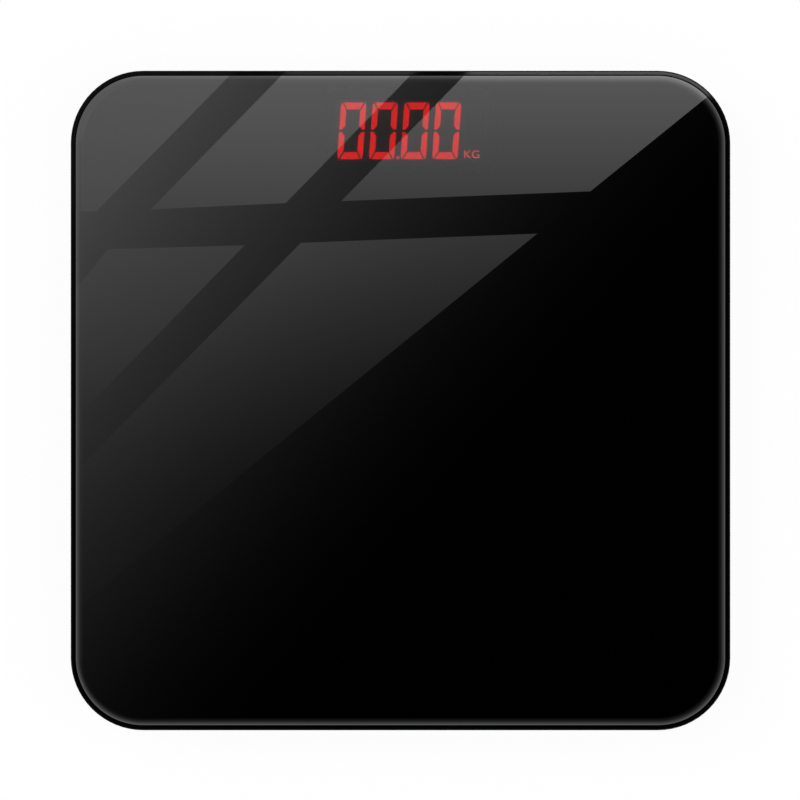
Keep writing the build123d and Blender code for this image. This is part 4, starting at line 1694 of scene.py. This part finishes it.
    def crossing(self, inner: Vector, outer: Vector, reach: float) -> Vector:
        """Where the line through two pixels has a given reach.

        Args:
            inner: the first pixel, inside.
            outer: the second pixel.
            reach: how far outside the outline the line has to be.

        Returns:
            The pixel there.
        """
        near, far = 0.0, self.search_reach
        for _ in range(self.search_rounds):
            half = (near + far) / 2
            if self.reach(inner.lerp(outer, half))[0] < reach:
                near = half
            else:
                far = half
        return inner.lerp(outer, near)

    def carried(self, inner: Pixel, outer: Pixel, height: float) -> list[Vector]:
        """Where a pane's border goes from the outline on, as the rolled edge mirrors it.

        Args:
            inner: the pixel at the border's inner end.
            outer: the pixel at which it meets the outline.
            height: how far the pane's card is above the glass.

        Returns:
            The border's points on the card, from the outline outwards.
        """
        start, end = Vector(inner), Vector(outer)
        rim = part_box("base_shell")[1].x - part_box("glass_platform")[1].x
        rim = (rim + self.platform.arris_width) / self.step
        roll = self.platform.roll_radius * math.sin(self.platform.roll_angle) / self.step
        points = [self.on_card(*self.crossing(start, end, self.rim_over), height)]
        for share in self.carry_shares:
            at = self.crossing(start, end, (share - 1.0) * roll - rim)
            tilt = math.asin(share * math.sin(self.platform.roll_angle))
            points.append(self.on_card(*at, height, tilt))
        points[-1] = points[-2].lerp(points[-1], self.carry_past)
        return points

    def widen(self, card: Piece, pane: Pane, height: float) -> None:
        """Carries a pane's card on past the platform's edge.

        Args:
            card: the card.
            pane: the pane that it shows.
            height: how far it is above the glass.
        """
        borders = [self.carried(pane.corners[3 - end], pane.corners[end], height) for end in (0, 1)]
        rows = list(zip(*borders))
        points = card.obj.data.vertices
        for index, place in zip(card.obj.data.polygons[0].vertices[:2], rows[0]):
            points[index].co = place
        for near, far in zip(rows, rows[1:]):

            def on_row(a: Vector, b: Vector) -> bool:
                """True on the edge that ends the card so far."""
                return all(min((p - n).length for n in near) < self.close for p in (a, b))

            card.pick_edges(on_row).extrude((0.0, 0.0, 0.0)).rest()
            for point in list(card.obj.data.vertices)[-2:]:
                point.co = far[0 if (point.co - near[0]).length < self.close else 1]

    def past(self, shader: Shader, span: float) -> tuple[Signal, Signal]:
        """How far a card's point is past the platform's left side and its top.

        Args:
            shader: the card's shader.
            span: the pixels over which each grows from zero to one.

        Returns:
            Both shares.
        """
        across, down = self.pixels(shader)
        return tuple(((self.gain_from - place) / span).clipped() for place in (across, down))

    def pixels(self, shader: Shader) -> tuple[Signal, Signal]:
        """A card's pixel coordinates, across and down."""
        x, y, _ = shader.axes()
        return self.view_middle + x / self.pixel, self.view_middle - y / self.pixel

    def on_rim(self, shader: Shader) -> Signal:
        """Where the tray's rim mirrors a card.

        Args:
            shader: the card's shader.

        Returns:
            One there, else zero.
        """
        straight = self.outline_half - self.outline_radius
        across, down = (
            (place - self.view_middle).size() - straight for place in self.pixels(shader)
        )
        over_x, over_y = across.join("MAXIMUM", 0.0), down.join("MAXIMUM", 0.0)
        inside = across.either(down).join("MINIMUM", 0.0)
        reach = (over_x * over_x + over_y * over_y) ** 0.5 + inside - self.outline_radius
        return reach.above(-self.rim_pixels) * (1.0 - reach.above(self.rim_over))

    def haze(self, shader: Shader) -> Signal:
        """The haze that falls off from the upper left, and fades past the platform's edges.

        Args:
            shader: the card's shader.

        Returns:
            Its level.
        """
        across, down = (place.join("MAXIMUM", self.haze_edge) for place in self.pixels(shader))
        share = (self.haze_end - across - down * self.haze_lean) / self.haze_span
        share = share.join("MAXIMUM", 0.0)
        side, top = self.past(shader, self.haze_span_out)
        return share ** self.haze_fall * self.haze_level * (1.0 - side) * (1.0 - top)

    def shine(self, shader: Shader, level: Signal) -> None:
        """Lets a card add its light to what is behind it.

        Args:
            shader: the card's shader.
            level: how bright the glass shows it.
        """
        inputs = {"Color": level, "Strength": self.mirror_gain}
        lit = shader.node("ShaderNodeEmission", inputs=inputs)
        shader.emit(shader.added(lit, shader.node("ShaderNodeBsdfTransparent")))

    def window(self) -> None:
        """The lit panes and the haze round them."""
        far = self.haze_reach
        square = ((-far, far), (far, far), (far, -far), (-far, -far))
        card = self.card("window_haze", square, self.card_height)
        shader = card.paint("look_haze")
        self.shine(shader, self.haze(shader) * (1.0 - self.on_rim(shader)))
        for number, pane in enumerate(self.panes, start=1):
            height = self.card_height - number * self.card_step
            card = self.card(pane.name, pane.corners, height)
            self.widen(card, pane, height)
            shader = card.paint(f"look_{pane.name}")
            head = min(y for _, y in pane.corners)
            down = self.pixels(shader)[1]
            rise = ((pane.fade_end - down) / (pane.fade_end - head)).clipped() ** pane.fall
            level = pane.foot + (pane.top - pane.foot) * rise
            side, top = self.past(shader, pane.gain_span)
            level = level + self.haze(shader) * pane.haze_share
            level = level + side * pane.side_gain + top * pane.top_gain
            rim = 1.0 - self.on_rim(shader) * (1 - pane.rim_share)
            self.shine(shader, level.join("MAXIMUM", 0.0) * rim)


def main() -> None:
    """Builds and dresses every sub-assembly, then the studio round them."""
    logging.basicConfig(level=logging.INFO, format="%(name)s: %(message)s")
    for part in (Platform(), Tray(), Feet(), LoadCells(), BatteryBay(), Display()):
        part.build()
    for part in (Platform(), LoadCells(), BatteryBay(), Display(), Electronics()):
        part.dress()
    Studio().build()


if __name__ == "__main__":
    main()
